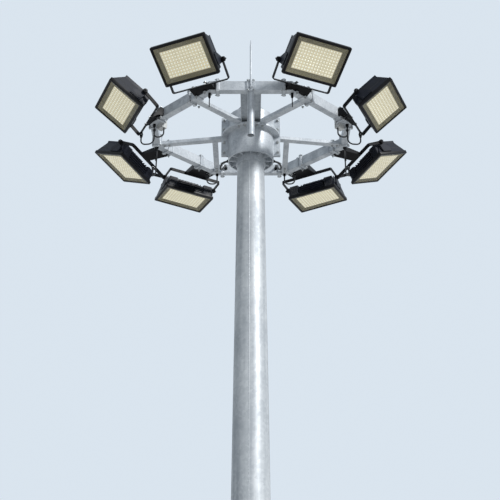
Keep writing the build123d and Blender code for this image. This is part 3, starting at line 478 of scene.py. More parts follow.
@dataclass(frozen=True)
class CloudedFinish:
    """A surface whose colour and roughness drift with noise."""

    name: str
    first: Colour
    second: Colour
    scale: float
    roughness: tuple[float, float]
    detail: float = 2.0
    drift: tuple[float, float] = (0.3, 0.7)
    stretch: tuple[float, float, float] | None = None
    relief: tuple[float, float] | None = None
    dusty: Colour | None = None
    film: tuple[float, float] | None = None
    # Strength of a painted glow: emission that stands in for light falling on the surface
    painted_glow: float = 0.0
    setting: tuple[str, float] | None = None

    def material(self) -> bpy.types.Material:
        """Build the finish as a material."""
        sheet = MaterialSheet(self.name)
        place = sheet.place()
        if self.stretch is not None:
            place = sheet.add("ShaderNodeMapping", {"Vector": place, "Scale": self.stretch}).outputs["Vector"]
        noise = sheet.noise(place, self.scale, self.detail)
        colour = sheet.blend(sheet.spread(noise, *self.drift), self.first, self.second)
        if self.dusty is not None:
            colour = sheet.blend(sheet.group(dust_group(), Amount=0.4, Patch=20.0)["Mask"], colour, self.dusty)
        sheet.paint({"Base Color": colour, "Roughness": sheet.spread(noise, 0.3, 0.7, *self.roughness)})
        if self.setting is not None:
            sheet.paint({self.setting[0]: self.setting[1]})
        # Painted light: a faint emission of the surface's own colour that stands in for daylight on a part that is
        # no lit lamp
        if self.painted_glow > 0:
            sheet.paint({"Emission Color": colour, "Emission Strength": self.painted_glow})
        if self.film is not None:
            sheet.paint({"Alpha": sheet.spread(noise, 0.35, 0.7, *self.film)})
        if self.relief is not None:
            sheet.bump(noise, *self.relief)
        return sheet.material


@dataclass(frozen=True)
class BoardFinish:
    """Cream LED board with fine dark joints between its modules, drawn on the board's own UV map, with a painted
    glow standing in for daylight on it.
    """

    name: str
    first: Colour
    second: Colour
    joint: Colour
    painted_glow: float
    modules: tuple[float, float] = (3.0, 2.0)

    def material(self) -> bpy.types.Material:
        """Build the finish as a material."""
        sheet = MaterialSheet(self.name)
        own = sheet.add("ShaderNodeUVMap", uv_map="board").outputs["UV"]
        split = sheet.add("ShaderNodeSeparateXYZ", {"Vector": own}).outputs
        lines: list[Socket] = []
        for axis, count in zip("XY", self.modules):
            cell = sheet.maths("FRACT", sheet.maths("MULTIPLY", split[axis], count))
            away = sheet.maths("ABSOLUTE", sheet.maths("SUBTRACT", cell, 0.5))
            lines.append(sheet.spread(away, 0.488, 0.496))
        joint = sheet.maths("MAXIMUM", *lines)
        noise = sheet.noise(own, 30.0, 4.0)
        plain = sheet.blend(sheet.spread(noise, 0.35, 0.65), self.first, self.second)
        colour = sheet.blend(joint, plain, self.joint)
        # The emission is painted light: a glow of the board's own colour that stands in for daylight on its
        # down-facing face
        sheet.paint({"Base Color": colour, "Roughness": sheet.spread(noise, 0.3, 0.7, 0.42, 0.6),
                     "Emission Color": colour, "Emission Strength": self.painted_glow})
        sheet.bump(joint, 0.3, -0.0005)
        return sheet.material


class Finishes:
    """All the materials, made once."""

    def __init__(self) -> None:
        """Build each finish."""
        self.mast = GalvanisedFinish("mast_zinc", tint(214, 218, 220), tint(172, 178, 183), 42.0, 3.0,
                                     streak=0.45).material()
        self.zinc = GalvanisedFinish("frame_zinc", tint(212, 217, 221), tint(166, 173, 180), 75.0, 9.0,
                                     streak=0.2).material()
        self.bolt = GalvanisedFinish("bolt_zinc", tint(206, 208, 206), tint(128, 132, 136), 220.0, 40.0,
                                     metallic=0.8, roughness=(0.28, 0.45), edge=0.0008).material()
        self.weld = GalvanisedFinish("weld_zinc", tint(208, 212, 215), tint(158, 164, 170), 260.0, 70.0,
                                     edge=0.0006).material()
        self.dark_bolt = CoatedFinish("dark_bolt_coat", tint(24, 25, 28), tint(40, 41, 45), tint(110, 112, 116),
                                      dust=0.10, edge=0.0006, specular=0.35).material()
        self.black = CoatedFinish("bracket_coat", tint(10, 11, 13), tint(18, 19, 22), tint(64, 66, 70),
                                  wear=0.14, grain=0.08, specular=0.12).material()
        self.housing = CoatedFinish("housing_coat", tint(20, 23, 31), tint(31, 35, 45), tint(96, 100, 110),
                                    dust=0.04, wear=0.2, edge=0.0008, grain=0.08, specular=0.22).material()
        self.rim = CoatedFinish("rim_coat", tint(11, 11, 13), tint(17, 17, 20), tint(64, 65, 68), wear=0.12,
                                grain=0.06, specular=0.2, roughness=(0.30, 0.42)).material()
        self.box = CoatedFinish("junction_plastic", tint(206, 208, 206), tint(184, 187, 187), tint(232, 232, 230),
                                dusty=tint(150, 145, 135), dust=0.5, wear=0.3, roughness=(0.42, 0.55),
                                edge=0.0012).material()
        self.reflector = CloudedFinish("reflector_olive", tint(118, 112, 86), tint(132, 125, 96), 12.0, (0.36, 0.44),
                                       detail=5.0, stretch=(3.0, 3.0, 60.0), relief=(0.04, 0.0001),
                                       setting=("Metallic", 0.12)).material()
        # The LED chips carry a painted glow: the lamps are off, and the emission stands in for daylight on them
        self.phosphor = CloudedFinish("led_phosphor", tint(255, 254, 244), tint(252, 248, 226), 240.0, (0.12, 0.25),
                                      painted_glow=0.45, setting=("Coat Weight", 0.6)).material()
        self.glass = CloudedFinish("cover_glass", tint(206, 214, 218), tint(226, 224, 214), 6.0, (0.03, 0.12),
                                   detail=7.0, drift=(0.4, 0.7), film=(0.02, 0.07), setting=("IOR", 1.5)).material()
        self.rubber = CloudedFinish("cable_sheath", tint(22, 23, 25), tint(48, 49, 51), 35.0, (0.5, 0.7), detail=6.0,
                                    drift=(0.35, 0.7), relief=(0.15, 0.0004), dusty=tint(120, 115, 105)).material()
        # The board's painted glow stands in for daylight on it; the lamps are off
        self.board = BoardFinish("led_board_cream", tint(236, 228, 196), tint(224, 215, 180), tint(176, 168, 134),
                                 painted_glow=0.27).material()

    def dress(self, nodes: dict[str, bpy.types.Object]) -> None:
        """Give each CAD node one finish; the fronts are replaced and need none."""
        zinc_names = ("base_", "ring_bar", "ring_corners", "spokes", "struts", "channels", "drop_tube", "rod_clamp",
                      "lightning", "hub_half", "hub_base", "hub_top")
        coats = (
            (("lower_mast", "upper_mast", "mast_cap", "door_frame", "service_door"), self.mast),
            (zinc_names, self.zinc),
            (("ring_cables", "hub_cables"), self.rubber),
            (("glands",), self.black),
            (("junction_boxes",), self.box),
        )
        for name, node in nodes.items():
            material = next((coat for starts, coat in coats if name.startswith(starts)), None)
            if name.startswith("floodlight") and not name.endswith("_front"):
                material = self.housing if name.endswith("_housing") else self.black
            if material is not None:
                node.data.materials.clear()
                node.data.materials.append(material)


# Mesh helpers


def frame_matrix(origin: Vector, x_axis: Vector, z_axis: Vector) -> Matrix:
    """A placing matrix from an origin and two directions.

    Args:
        origin: Where the local origin goes.
        x_axis: Direction of local X.
        z_axis: Direction of local Z.

    Returns:
        The 4 by 4 matrix.
    """
    x_dir = x_axis.normalized()
    z_dir = z_axis.normalized()
    turn = Matrix((x_dir, z_dir.cross(x_dir), z_dir)).transposed().to_4x4()
    return Matrix.Translation(origin) @ turn


def facing_matrix(origin: Vector, direction: Vector) -> Matrix:
    """A placing matrix whose local Z looks along a direction."""
    return Matrix.Translation(origin) @ direction.to_track_quat("Z", "Y").to_matrix().to_4x4()


def shifted(place: Matrix, x: float = 0.0, y: float = 0.0, z: float = 0.0) -> Matrix:
    """A placing matrix moved along its own axes."""
    return place @ Matrix.Translation((x, y, z))


def out_from_mast(degrees: float) -> Vector:
    """Level direction out of the mast, at an angle round from the near side."""
    angle = math.radians(degrees)
    return Vector((math.sin(angle), -math.cos(angle), 0.0))


def edges_of(verts: Iterable[bmesh.types.BMVert]) -> list[bmesh.types.BMEdge]:
    """Edges at some vertices, each once and in the same order on each run."""
    return list(dict.fromkeys(edge for vert in verts for edge in vert.link_edges))


@dataclass(frozen=True)
class BoltShape:
    """Proportions of a bolt, as shares of its thread diameter."""

    washer_radius: float = 1.05
    washer_height: float = 0.18
    head_radius: float = 0.92
    head_height: float = 0.45
    top_radius: float = 0.76
    top_height: float = 0.18
    thread_start: float = 0.4
    thread_over: float = 0.3
    thread_bevel: float = 0.08


BOLT = BoltShape()


@dataclass(frozen=True)
class Outline:
    """A rounded rectangle at a height, with the material of the faces that lead to it."""

    half_x: float
    half_y: float
    radius: float
    z: float
    material: int = 0

    def point(self, number: int, steps: int) -> Vector:
        """One point of the outline, counted round from its right side."""
        corner, step = divmod(number, steps)
        turn = (corner + step / (steps - 1)) * math.pi / 2
        sign_x, sign_y = ((1, 1), (-1, 1), (-1, -1), (1, -1))[corner]
        x = sign_x * (self.half_x - self.radius) + self.radius * math.cos(turn)
        y = sign_y * (self.half_y - self.radius) + self.radius * math.sin(turn)
        return Vector((x, y, self.z))


class Piece:
    """A mesh being built, and then handed over as an object of the scene."""

    def __init__(self) -> None:
        """Start an empty mesh, whose faces look outwards as they are made."""
        self.bm = bmesh.new()
        self.turn_faces = False

    def round_edges(self, edges: list[bmesh.types.BMEdge], bevel: float, segments: int) -> None:
        """Round edges, if the radius isn't nothing."""
        if bevel > 0:
            bmesh.ops.bevel(self.bm, geom=edges, offset=bevel, offset_type="OFFSET", affect="EDGES",
                            segments=segments, profile=0.5, material=-1)

    def block(self, size: Sequence[float], centre: Sequence[float], place: Matrix, bevel: float = 0.0,
              segments: int = 2) -> None:
        """Add a box with rounded edges.

        Args:
            size: Size along local X, Y and Z.
            centre: Centre in the local frame.
            place: Local frame in the tower's frame.
            bevel: Radius of the rounded edges.
            segments: Segments of the rounding.
        """
        matrix = shifted(place, *centre) @ Matrix.Diagonal((*size, 1.0))
        made = bmesh.ops.create_cube(self.bm, size=1.0, matrix=matrix)
        self.round_edges(edges_of(made["verts"]), bevel, segments)

    def rod(self, radius: float, length: float, place: Matrix, end_radius: float | None = None, segments: int = 24,
            bevel: float = 0.0) -> None:
        """Add a cylinder or cone that starts at the place's origin and runs along its Z.

        Args:
            radius: Radius at the start.
            length: Length along local Z.
            place: Local frame.
            end_radius: Radius at the end, the same as radius if left out.
            segments: Sides.
            bevel: Radius of the rounded end edges.
        """
        made = bmesh.ops.create_cone(self.bm, cap_ends=True, segments=segments, radius1=radius,
                                     radius2=radius if end_radius is None else end_radius, depth=length,
                                     matrix=shifted(place, z=length / 2))
        faces = dict.fromkeys(face for vert in made["verts"] for face in vert.link_faces)
        caps = [face for face in faces if len(face.verts) == segments]
        self.round_edges(list(dict.fromkeys(edge for face in caps for edge in face.edges)), bevel, 2)

    def bolt(self, at: Vector, direction: Vector, size: float, shank: float = 0.0) -> None:
        """Add a hexagon bolt head on a washer and, if wanted, a threaded end beyond the head.

        Args:
            at: The point on the surface it stands on.
            direction: Direction out of that surface.
            size: Thread diameter.
            shank: Length of thread that stands out past the nut.
        """
        washer = facing_matrix(at, direction)
        self.rod(size * BOLT.washer_radius, size * BOLT.washer_height, washer, segments=20)
        head = shifted(washer, z=size * BOLT.washer_height)
        self.rod(size * BOLT.head_radius, size * BOLT.head_height, head, segments=6)
        self.rod(size * BOLT.head_radius, size * BOLT.top_height, shifted(head, z=size * BOLT.head_height),
                 end_radius=size * BOLT.top_radius, segments=6)
        if shank > 0:
            self.rod(size / 2, shank + size * BOLT.thread_over, shifted(head, z=size * BOLT.thread_start),
                     segments=14, bevel=size * BOLT.thread_bevel)

    def stepped_frame(self, levels: Sequence[Outline], place: Matrix, steps: int = 6) -> None:
        """Add a closed body whose sections are rounded rectangles, one outline after another.

        Args:
            levels: The outlines from the back to the face, each with the material of the band before it.
            place: Local frame.
            steps: Points on each corner.
        """
        count = 4 * steps
        made = bmesh.ops.create_circle(self.bm, cap_ends=False, segments=count, radius=1.0)
        numbers: dict[bmesh.types.BMVert, int] = {}
        for vert in made["verts"]:
            share = (math.atan2(vert.co.y, vert.co.x) % math.tau) / math.tau
            numbers[vert] = round(share * count) % count
            vert.co = levels[0].point(numbers[vert], steps)
        edges = edges_of(numbers)
        self.cap(edges, levels[0].material)
        for level in levels[1:]:
            grown = bmesh.ops.extrude_edge_only(self.bm, edges=edges)["geom"]
            fresh: dict[bmesh.types.BMVert, int] = {}
            for vert in (item for item in grown if isinstance(item, bmesh.types.BMVert)):
                partner = next(edge.other_vert(vert) for edge in vert.link_edges if edge.other_vert(vert) in numbers)
                fresh[vert] = numbers[partner]
                vert.co = level.point(fresh[vert], steps)
            for face in (item for item in grown if isinstance(item, bmesh.types.BMFace)):
                face.material_index = level.material
            numbers = fresh
            edges = [edge for edge in edges_of(fresh) if all(vert in fresh for vert in edge.verts)]
        self.cap(edges, levels[-1].material)
        self.turn_faces = True
        bmesh.ops.transform(self.bm, matrix=place, verts=self.bm.verts)

    def cap(self, edges: list[bmesh.types.BMEdge], material: int) -> None:
        """Close a loop of edges with a face of one material."""
        for face in bmesh.ops.contextual_create(self.bm, geom=edges)["faces"]:
            face.material_index = material

    def finish(self, name: str, body: str, slot: Slot, *materials: bpy.types.Material,
               smooth_angle: float = 35.0) -> bpy.types.Object:
        """Turn the mesh into an object that rides on a body.

        Args:
            name: Piece name.
            body: CAD body that it moves with.
            slot: Not used.
            *materials: Its materials in order of index.
            smooth_angle: Edges flatter than this angle, in degrees, are shaded smooth.

        Returns:
            The new object.
        """
        bmesh.ops.remove_doubles(self.bm, verts=self.bm.verts, dist=1e-6)
        if self.turn_faces:
            bmesh.ops.recalc_face_normals(self.bm, faces=self.bm.faces)
        mesh = bpy.data.meshes.new(name)
        self.bm.to_mesh(mesh)
        self.bm.free()
        for material in materials:
            mesh.materials.append(material)
        mesh.polygons.foreach_set("use_smooth", [True] * len(mesh.polygons))
        mesh.set_sharp_from_angle(angle=math.radians(smooth_angle))
        piece = bpy.data.objects.new(name, mesh)
        bpy.context.scene.collection.objects.link(piece)
        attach(piece, body)
        LOG.info("%s: %d faces", name, len(mesh.polygons))
        return piece


# Sub-assemblies


@dataclass
class Mast:
    """The welds, anchor studs and door fittings of the mast."""

    finishes: Finishes
    seam_angle: float = -6.4
    seam_width: float = 0.009
    seam_height: float = 0.0016
    seam_sunk: float = 0.0008
    seam_foot: float = 0.05
    seam_over_slip: float = 0.004
    seam_under_slip: float = 0.002
    seam_under_hub: float = 0.05
    foot_weld_radius: float = 0.007
    foot_weld_rise: float = 0.003
    washer: tuple[float, float] = (0.036, 0.006)
    nut: tuple[float, float] = (0.0318, 0.024)
    nut_top: tuple[float, float] = (0.0275, 0.005)
    stud: tuple[float, float] = (0.0180, 0.052)
    stud_rise: float = 0.020
    nut_turn: float = 0.4
    door_low: float = 0.82
    door_high: float = 1.50
    door_middle: float = 1.15
    door_proud: float = 0.030
    door_screw: float = 0.008
    door_screw_x: float = 0.086
    door_screw_z: tuple[float, float] = (0.93, 1.37)
    lock_x: float = 0.070
    lock: tuple[float, float] = (0.016, 0.004)
    key: tuple[float, float, float] = (0.010, 0.010, 0.005)
    hinge: tuple[float, float] = (0.006, 0.060)
    hinge_x: float = -0.1065
    hinge_z: tuple[float, float] = (0.98, 1.32)
    lug: tuple[float, float, float] = (0.060, 0.040, 0.016)
    lug_sunk: float = 0.002
    lug_bolt: float = 0.012
    lug_angle: float = 35.0
    lug_z: float = 0.42

    def seam_run(self, piece: Piece, low: float, high: float, upper: bool) -> None:
        """Add a stretch of the lengthwise weld.

        Args:
            piece: The piece to add to.
            low: Lower end's height.
            high: Upper end's height.
            upper: Whether it lies on the upper section.
        """
        out = out_from_mast(self.seam_angle)
        radius = SIZES.upper_radius if upper else SIZES.lower_radius
        start, end = (out * radius(z) + UP * z for z in (low, high))
        run = end - start
        place = frame_matrix(start - out * self.seam_sunk, run.cross(out), run)
        squash = place @ Matrix.Diagonal((1.0, self.seam_height * 2 / self.seam_width, 1.0, 1.0))
        piece.rod(self.seam_width / 2, run.length, squash, segments=12)

    def welds(self) -> None:
        """Build the lengthwise seam on both sections, and the round weld on the flange."""
        piece = Piece()
        hub_foot = SIZES.ring_z - SIZES.hub_below
        self.seam_run(piece, SIZES.slip_low + self.seam_over_slip, hub_foot - self.seam_under_hub, True)
        self.seam_run(piece, self.door_high, SIZES.slip_low - self.seam_under_slip, False)
        self.seam_run(piece, self.seam_foot, self.door_low, False)
        weld_z = SIZES.flange_thickness + self.foot_weld_rise
        middle = Matrix.Translation((SIZES.lower_radius(weld_z), 0, weld_z)) @ Matrix.Rotation(math.pi / 2, 4, "X")
        made = bmesh.ops.create_circle(piece.bm, cap_ends=False, segments=10, radius=self.foot_weld_radius,
                                       matrix=middle)
        bmesh.ops.spin(piece.bm, geom=list(made["verts"]) + edges_of(made["verts"]), cent=(0, 0, 0), axis=(0, 0, 1),
                       angle=math.tau, steps=96, use_merge=True)
        piece.turn_faces = True
        piece.finish("mast_welds", ROOT, Slot.MAST, self.finishes.weld)

    def anchors(self) -> None:
        """Build the anchor studs with their nuts and washers."""
        piece = Piece()
        for number in range(SIZES.anchor_count):
            angle = math.tau * number / SIZES.anchor_count
            at = Vector((math.cos(angle), math.sin(angle), 0.0)) * (SIZES.anchor_circle / 2)
            foot = Matrix.Translation(at + UP * SIZES.flange_thickness)
            foot @= Matrix.Rotation(self.nut_turn * number, 4, "Z")
            piece.rod(*self.washer, foot, segments=32, bevel=0.001)
            nut = shifted(foot, z=self.washer[1])
            piece.rod(*self.nut, nut, segments=6)
            top_radius, top_height = self.nut_top
            piece.rod(self.nut[0], top_height, shifted(nut, z=self.nut[1]), end_radius=top_radius, segments=6)
            piece.rod(*self.stud, shifted(nut, z=self.stud_rise), segments=24, bevel=0.002)
        piece.finish("anchor_studs", ROOT, Slot.ZINC, self.finishes.bolt)

    def door_fittings(self) -> None:
        """Build the door's screws, lock, hinges and the earthing lug above the base."""
        piece = Piece()
        front = -(SIZES.lower_radius(self.door_middle) + self.door_proud)
        for way in BOTH:
            for z in self.door_screw_z:
                piece.bolt(Vector((way * self.door_screw_x, front, z)), NEAR_WAY, self.door_screw)
        lock = facing_matrix(Vector((self.lock_x, front, self.door_middle)), NEAR_WAY)
        piece.rod(*self.lock, lock, segments=32, bevel=0.0008)
        piece.block(self.key, (0.0, 0.0, 0.006), lock, bevel=0.001)
        for z in self.hinge_z:
            foot = Vector((self.hinge_x, front + 0.004, z - self.hinge[1] / 2))
            piece.rod(*self.hinge, Matrix.Translation(foot), segments=16, bevel=0.001)
        out = out_from_mast(self.lug_angle)
        foot = out * SIZES.lower_radius(self.lug_z) + UP * self.lug_z
        thick = self.lug[2]
        place = frame_matrix(foot - out * self.lug_sunk, UP, out)
        piece.block(self.lug, (0, 0, thick / 2), place, bevel=0.002)
        piece.bolt(foot + out * (thick - self.lug_sunk), out, self.lug_bolt, shank=0.012)
        piece.finish("door_fittings", ROOT, Slot.ZINC, self.finishes.bolt)

    def build(self) -> None:
        """Add the mast's pieces."""
        self.welds()
        self.anchors()
        self.door_fittings()


@dataclass
class Ring:
    """The bolts, welds and saddles of the eight-sided lamp ring."""

    finishes: Finishes
    bolt_size: float = 0.009
    weld_radius: float = 0.004
    thread_out: float = 0.006
    spoke_bolt: float = 0.011
    spoke_thickness: float = 0.030
    clamp_x: float = 0.024
    clamp_out: float = 0.012
    clamp_rises: tuple[float, float] = (-0.002, 0.092)
    rod_out: float = 0.020
    saddle_radius: float = 0.0115
    saddle_height: float = 0.014
    saddle_rises: tuple[float, float] = (0.022, 0.072)
    saddle_plate: tuple[float, float] = (0.046, 0.005)
    tube_flange: tuple[float, float] = (0.040, 0.006)
    spoke_ends: tuple[tuple[float, float], ...] = (
        (0.487, -0.545), (0.450, -0.508), (0.800, 0.179), (0.755, 0.176), (0.330, 0.675), (0.330, 0.630))

    def joint_bolts(self) -> None:
        """Build the bolts and nuts at the corners of each pair of joint plates."""
        piece = Piece()
        reach = SIZES.bar_width / 2 + SIZES.lip / 2
        rise = SIZES.bar_height / 2 + SIZES.lip / 2
        for middle, along, inward in SIZES.joints():
            for across in (-reach, reach):
                for height in (-rise, rise):
                    at = middle + inward * across + UP * height
                    piece.bolt(at + along * SIZES.plate, along, self.bolt_size, shank=self.thread_out)
                    piece.bolt(at - along * SIZES.plate, -along, self.bolt_size)
        piece.finish("ring_joint_bolts", ROOT, Slot.ZINC, self.finishes.bolt)

    def joint_welds(self) -> None:
        """Build the fillet welds where each bar meets its joint plate."""
        piece = Piece()
        half_width, half_height = SIZES.bar_width / 2, SIZES.bar_height / 2
        for middle, along, inward in SIZES.joints():
            for way in BOTH:
                centre = middle + along * (way * (SIZES.plate + 0.001))
                for sign in BOTH:
                    low = centre + inward * (sign * half_width) - UP * (half_height + 0.002)
                    piece.rod(self.weld_radius, SIZES.bar_height + 0.004, Matrix.Translation(low), segments=8)
                for sign in BOTH:
                    outer = centre + UP * (sign * half_height) - inward * half_width
                    piece.rod(self.weld_radius, SIZES.bar_width, facing_matrix(outer, inward), segments=8)
        piece.finish("ring_joint_welds", ROOT, Slot.ZINC, self.finishes.weld)

    def spoke_bolts(self) -> None:
        """Build the bolts through the ring ends of the spokes and struts, and those of the rod's clamp."""
        piece = Piece()
        for side in BOTH:
            for x, y in self.spoke_ends:
                at = Vector((side * x, y, SIZES.ring_z))
                piece.bolt(at, DOWN, self.spoke_bolt, shank=self.thread_out)
                piece.bolt(at + UP * self.spoke_thickness, UP, self.spoke_bolt)
            for rise in self.clamp_rises:
                at = Vector((side * self.clamp_x, -SIZES.half_depth - self.clamp_out, SIZES.ring_z + rise))
                piece.bolt(at, NEAR_WAY, self.bolt_size, shank=0.005)
        piece.finish("spoke_bolts", ROOT, Slot.ZINC, self.finishes.bolt)

    def rod_saddles(self) -> None:
        """Build the two saddles that hold the lightning rod to its clamp plate, and the tube's flange."""
        piece = Piece()
        height = self.saddle_height
        for rise in self.saddle_rises:
            place = Matrix.Translation((0, -SIZES.half_depth - self.rod_out, SIZES.ring_z + rise))
            piece.rod(self.saddle_radius, height, place, segments=24, bevel=0.001)
            piece.block((*self.saddle_plate, height), (0, 0.0055, height / 2), place, bevel=0.001)
        under = Vector((0, -SIZES.half_depth + SIZES.bar_width / 2, SIZES.ring_z - self.tube_flange[1]))
        piece.rod(*self.tube_flange, Matrix.Translation(under), segments=32, bevel=0.001)
        piece.finish("rod_saddles", ROOT, Slot.ZINC, self.finishes.zinc)

    def build(self) -> None:
        """Add the ring's pieces."""
        self.joint_bolts()
        self.joint_welds()
        self.spoke_bolts()
        self.rod_saddles()


@dataclass
class Hub:
    """The bolts of the clamp drum round the mast head."""

    finishes: Finishes
    wing_x: float = 0.243
    wing_half: float = 0.015
    wing_rises: tuple[float, ...] = (-0.180, -0.075, 0.060, 0.152)
    drum_bolt: float = 0.014
    drum_bolt_drop: float = 0.09
    rim_bolt: float = 0.012
    rim_bolt_drop: float = 0.016
    rim_bolts: tuple[tuple[float, float], ...] = ((0.105, -0.215), (0.232, 0.074), (0.055, -0.229))

    def build(self) -> None:
        """Add the wing bolts, the spokes' bolts in the rim plate and the near bolt of the drum."""
        piece = Piece()
        for side in BOTH:
            for rise in self.wing_rises:
                for way in BOTH:
                    at = Vector((side * self.wing_x, way * self.wing_half, SIZES.ring_z + rise))
                    piece.bolt(at, Vector((0, way, 0)), self.drum_bolt, shank=0.010 * (way < 0))
            for x, y in self.rim_bolts:
                at = Vector((side * x, y, SIZES.ring_z - self.rim_bolt_drop))
                piece.bolt(at, DOWN, self.rim_bolt, shank=0.008)
        near = Vector((0, -SIZES.hub_radius + 0.0005, SIZES.ring_z - self.drum_bolt_drop))
        piece.bolt(near, NEAR_WAY, self.drum_bolt)
        piece.finish("hub_bolts", ROOT, Slot.ZINC, self.finishes.bolt)


class Setting(Enum):
    """Places of the floodlights, from the near side round to the far side."""

    NEAR = "near"
    SIDE_NEAR = "side_near"
    SIDE_FAR = "side_far"
    FAR = "far"


@dataclass(frozen=True)
class Aim:
    """How a floodlight is set: its place on the ring, its angles, its bracket and its cable clip."""

    corner: int
    side: int
    along: float
    heading: float
    drop: float
    roll: float
    pitch: float
    reach: float
    lift: float
    shift: float
    width: float
    straps: tuple[float, ...]
    clip: tuple[float, float, float] | None = None


AIMS = {
    Setting.NEAR: Aim(0, 0, 0.060, 25.5, 54.0, 0.0, 42.0, 0.061, -0.018, 0.0, 0.210, (0.045, 0.150)),
    Setting.SIDE_NEAR: Aim(1, 0, 0.094, 67.0, 55.0, 0.0, 45.0, 0.074, -0.079, 0.0, 0.170, (0.160,),
                           (0.074, -0.220, -0.109)),
    Setting.SIDE_FAR: Aim(2, 2, 0.150, 118.5, 69.5, 10.5, 27.0, 0.252, -0.015, -0.072, 0.110, (0.185,),
                          (0.252, -0.150, -0.045)),
    Setting.FAR: Aim(3, 2, 0.125, 155.0, 90.0, 4.5, -5.0, 0.284, 0.044, 0.0, 0.220, (0.060, 0.205),
                     (0.044, -0.031, -0.060)),
}


@dataclass
class Floodlight:
    """One floodlight. Local X runs along the tilt axis, Y up the face and Z out of the face."""

    setting: Setting
    side: Side
    finishes: Finishes
    width: float = 0.510
    height: float = 0.360
    forward: float = 0.130
    rise: float = 0.110
    bezel_depth: float = 0.026
    rim: float = 0.024
    corner: float = 0.012
    lip_depth: float = 0.004
    reflector_depth: float = 0.016
    board: tuple[float, float] = (0.384, 0.236)
    body_depth: float = 0.110
    body_margin: float = 0.008
    body_taper: tuple[float, float] = (0.020, 0.066)
    driver: tuple[float, float, float] = (0.240, 0.150, 0.040)
    end_block: tuple[float, float] = (0.084, 0.106)
    end_ribs: int = 7
    side_ribs: int = 24
    yoke_arm: float = 0.175
    yoke_inner: float = 0.261
    yoke_thickness: float = 0.008
    knob: tuple[float, float] = (0.018, 0.018)
    knob_grips: int = 12
    led_grid: tuple[int, int] = (14, 9)
    led_margins: tuple[float, float] = (0.030, 0.028)
    led_radii: tuple[float, float] = (0.0068, 0.0042)
    led_height: float = 0.0030
    glass_thickness: float = 0.003
    glass_sunk: float = 0.0050
    screw_x: tuple[float, ...] = (-0.243, -0.122, 0.0, 0.122, 0.243)
    screw_y: tuple[float, ...] = (-0.168, 0.168)
    screw: tuple[float, float] = (0.0035, 0.0016)
    seal_bands: tuple[tuple[float, float, float], ...] = ((0.002, 0.0025, 0.004), (0.050, 0.0012, 0.003))
    lid_margin: float = 0.010
    lid_thickness: float = 0.004
    lid_panel_margins: tuple[float, float] = (0.050, 0.060)
    lid_panel_thickness: float = 0.003
    lid_screw: float = 0.006
    lid_screw_x: tuple[float, ...] = (-0.107, 0.0, 0.107)
    lid_screw_y: tuple[float, ...] = (-0.063, 0.063)
    vent_x: float = 0.080
    vent_nut: tuple[float, float] = (0.009, 0.005)
    vent_cap: tuple[float, float] = (0.0065, 0.004)
    end_rib: tuple[float, float] = (0.0045, 0.005)
    end_rib_pitch: float = 0.0115
    end_rib_short: float = 0.010
    side_rib: tuple[float, float, float] = (0.0035, 0.040, 0.0800)
    side_rib_up: float = 0.026
    side_rib_back: float = 0.044
    side_rib_gap: float = 0.012
    lug_bolt_y: tuple[float, ...] = (0.072, 0.004)
    lug_bolt_z: float = 0.084
    lug_bolt: tuple[float, float] = (0.0055, 0.0030)
    grip_radius: float = 0.0030
    knob_bolt: float = 0.011
    crossbar_bolt: float = 0.013
    crossbar_bolt_share: float = 0.35
    strap: tuple[float, float] = (0.026, 0.005)
    strap_over: float = 0.027
    strap_shift: float = 0.008
    strap_off: float = 0.0026
    strap_web_over: float = 0.010
    strap_bolt: float = 0.010
    strap_bolt_out: float = 0.011
    clip_screw: float = 0.006
    clip_screw_out: float = 0.013
    sleeve_radii: tuple[float, float] = (0.0105, 0.0125)
    sleeve_length: float = 0.016

    def __post_init__(self) -> None:
        """Work out the name, the placing matrices and the directions."""
        self.name = f"floodlight_{self.setting.value}_{self.side.name.lower()}"
        self.aim = aim = AIMS[self.setting]
        run = SIZES.along(aim.side) if aim.corner == aim.side else -SIZES.along(aim.side)
        mirror = self.side.mirror()
        out = out_from_mast(-aim.heading) * mirror
        level = Vector((-out.y, out.x, 0.0))
        roll = math.radians(aim.roll) * -self.side.value
        up = UP * math.cos(roll) - level * math.sin(roll)
        pitch = math.radians(aim.pitch)
        drop = math.radians(aim.drop)
        self.out = out
        self.along = run * mirror
        self.inward = SIZES.inward(aim.side) * mirror
        self.corner_point = SIZES.corners()[aim.corner] * mirror
        self.bar_middle = self.corner_point + self.along * aim.along + UP * (SIZES.ring_z + SIZES.bar_height / 2)
        self.axis = level * math.cos(roll) + UP * math.sin(roll)
        self.arm = out * math.cos(pitch) + up * math.sin(pitch)
        self.bracket_end = self.bar_middle + out * aim.reach + up * aim.lift
        self.pivot = self.bracket_end - self.axis * (self.side.value * aim.shift) + self.arm * self.yoke_arm
        self.lamp = frame_matrix(self.pivot, self.axis, out * math.cos(drop) - up * math.sin(drop))
        self.face = shifted(self.lamp, y=self.rise)
        self.back = self.forward - self.bezel_depth

    def front(self) -> None:
        """Build the frame with its rounded rim and the sloping reflector inside it."""
        piece = Piece()
        half_x, half_y = self.width / 2, self.height / 2
        front = self.forward
        insets = (
            (0.0, self.corner, self.back),
            (0.0, self.corner, front - 0.0025),
            (0.0008, self.corner, front - 0.0008),
            (0.0025, self.corner, front),
            (self.rim - 0.0020, 0.008, front),
            (self.rim - 0.0008, 0.007, front - 0.0008),
            (self.rim, 0.006, front - self.lip_depth),
        )
        levels = [Outline(half_x - inset, half_y - inset, radius, z) for inset, radius, z in insets]
        levels.append(Outline(self.board[0] / 2, self.board[1] / 2, 0.002, front - self.reflector_depth, 1))
        piece.stepped_frame(levels, self.face)
        made_piece = piece.finish(f"{self.name}_frame", self.name, Slot.FRONT, self.finishes.rim,
                                  self.finishes.reflector)
        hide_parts(f"{self.name}_front")

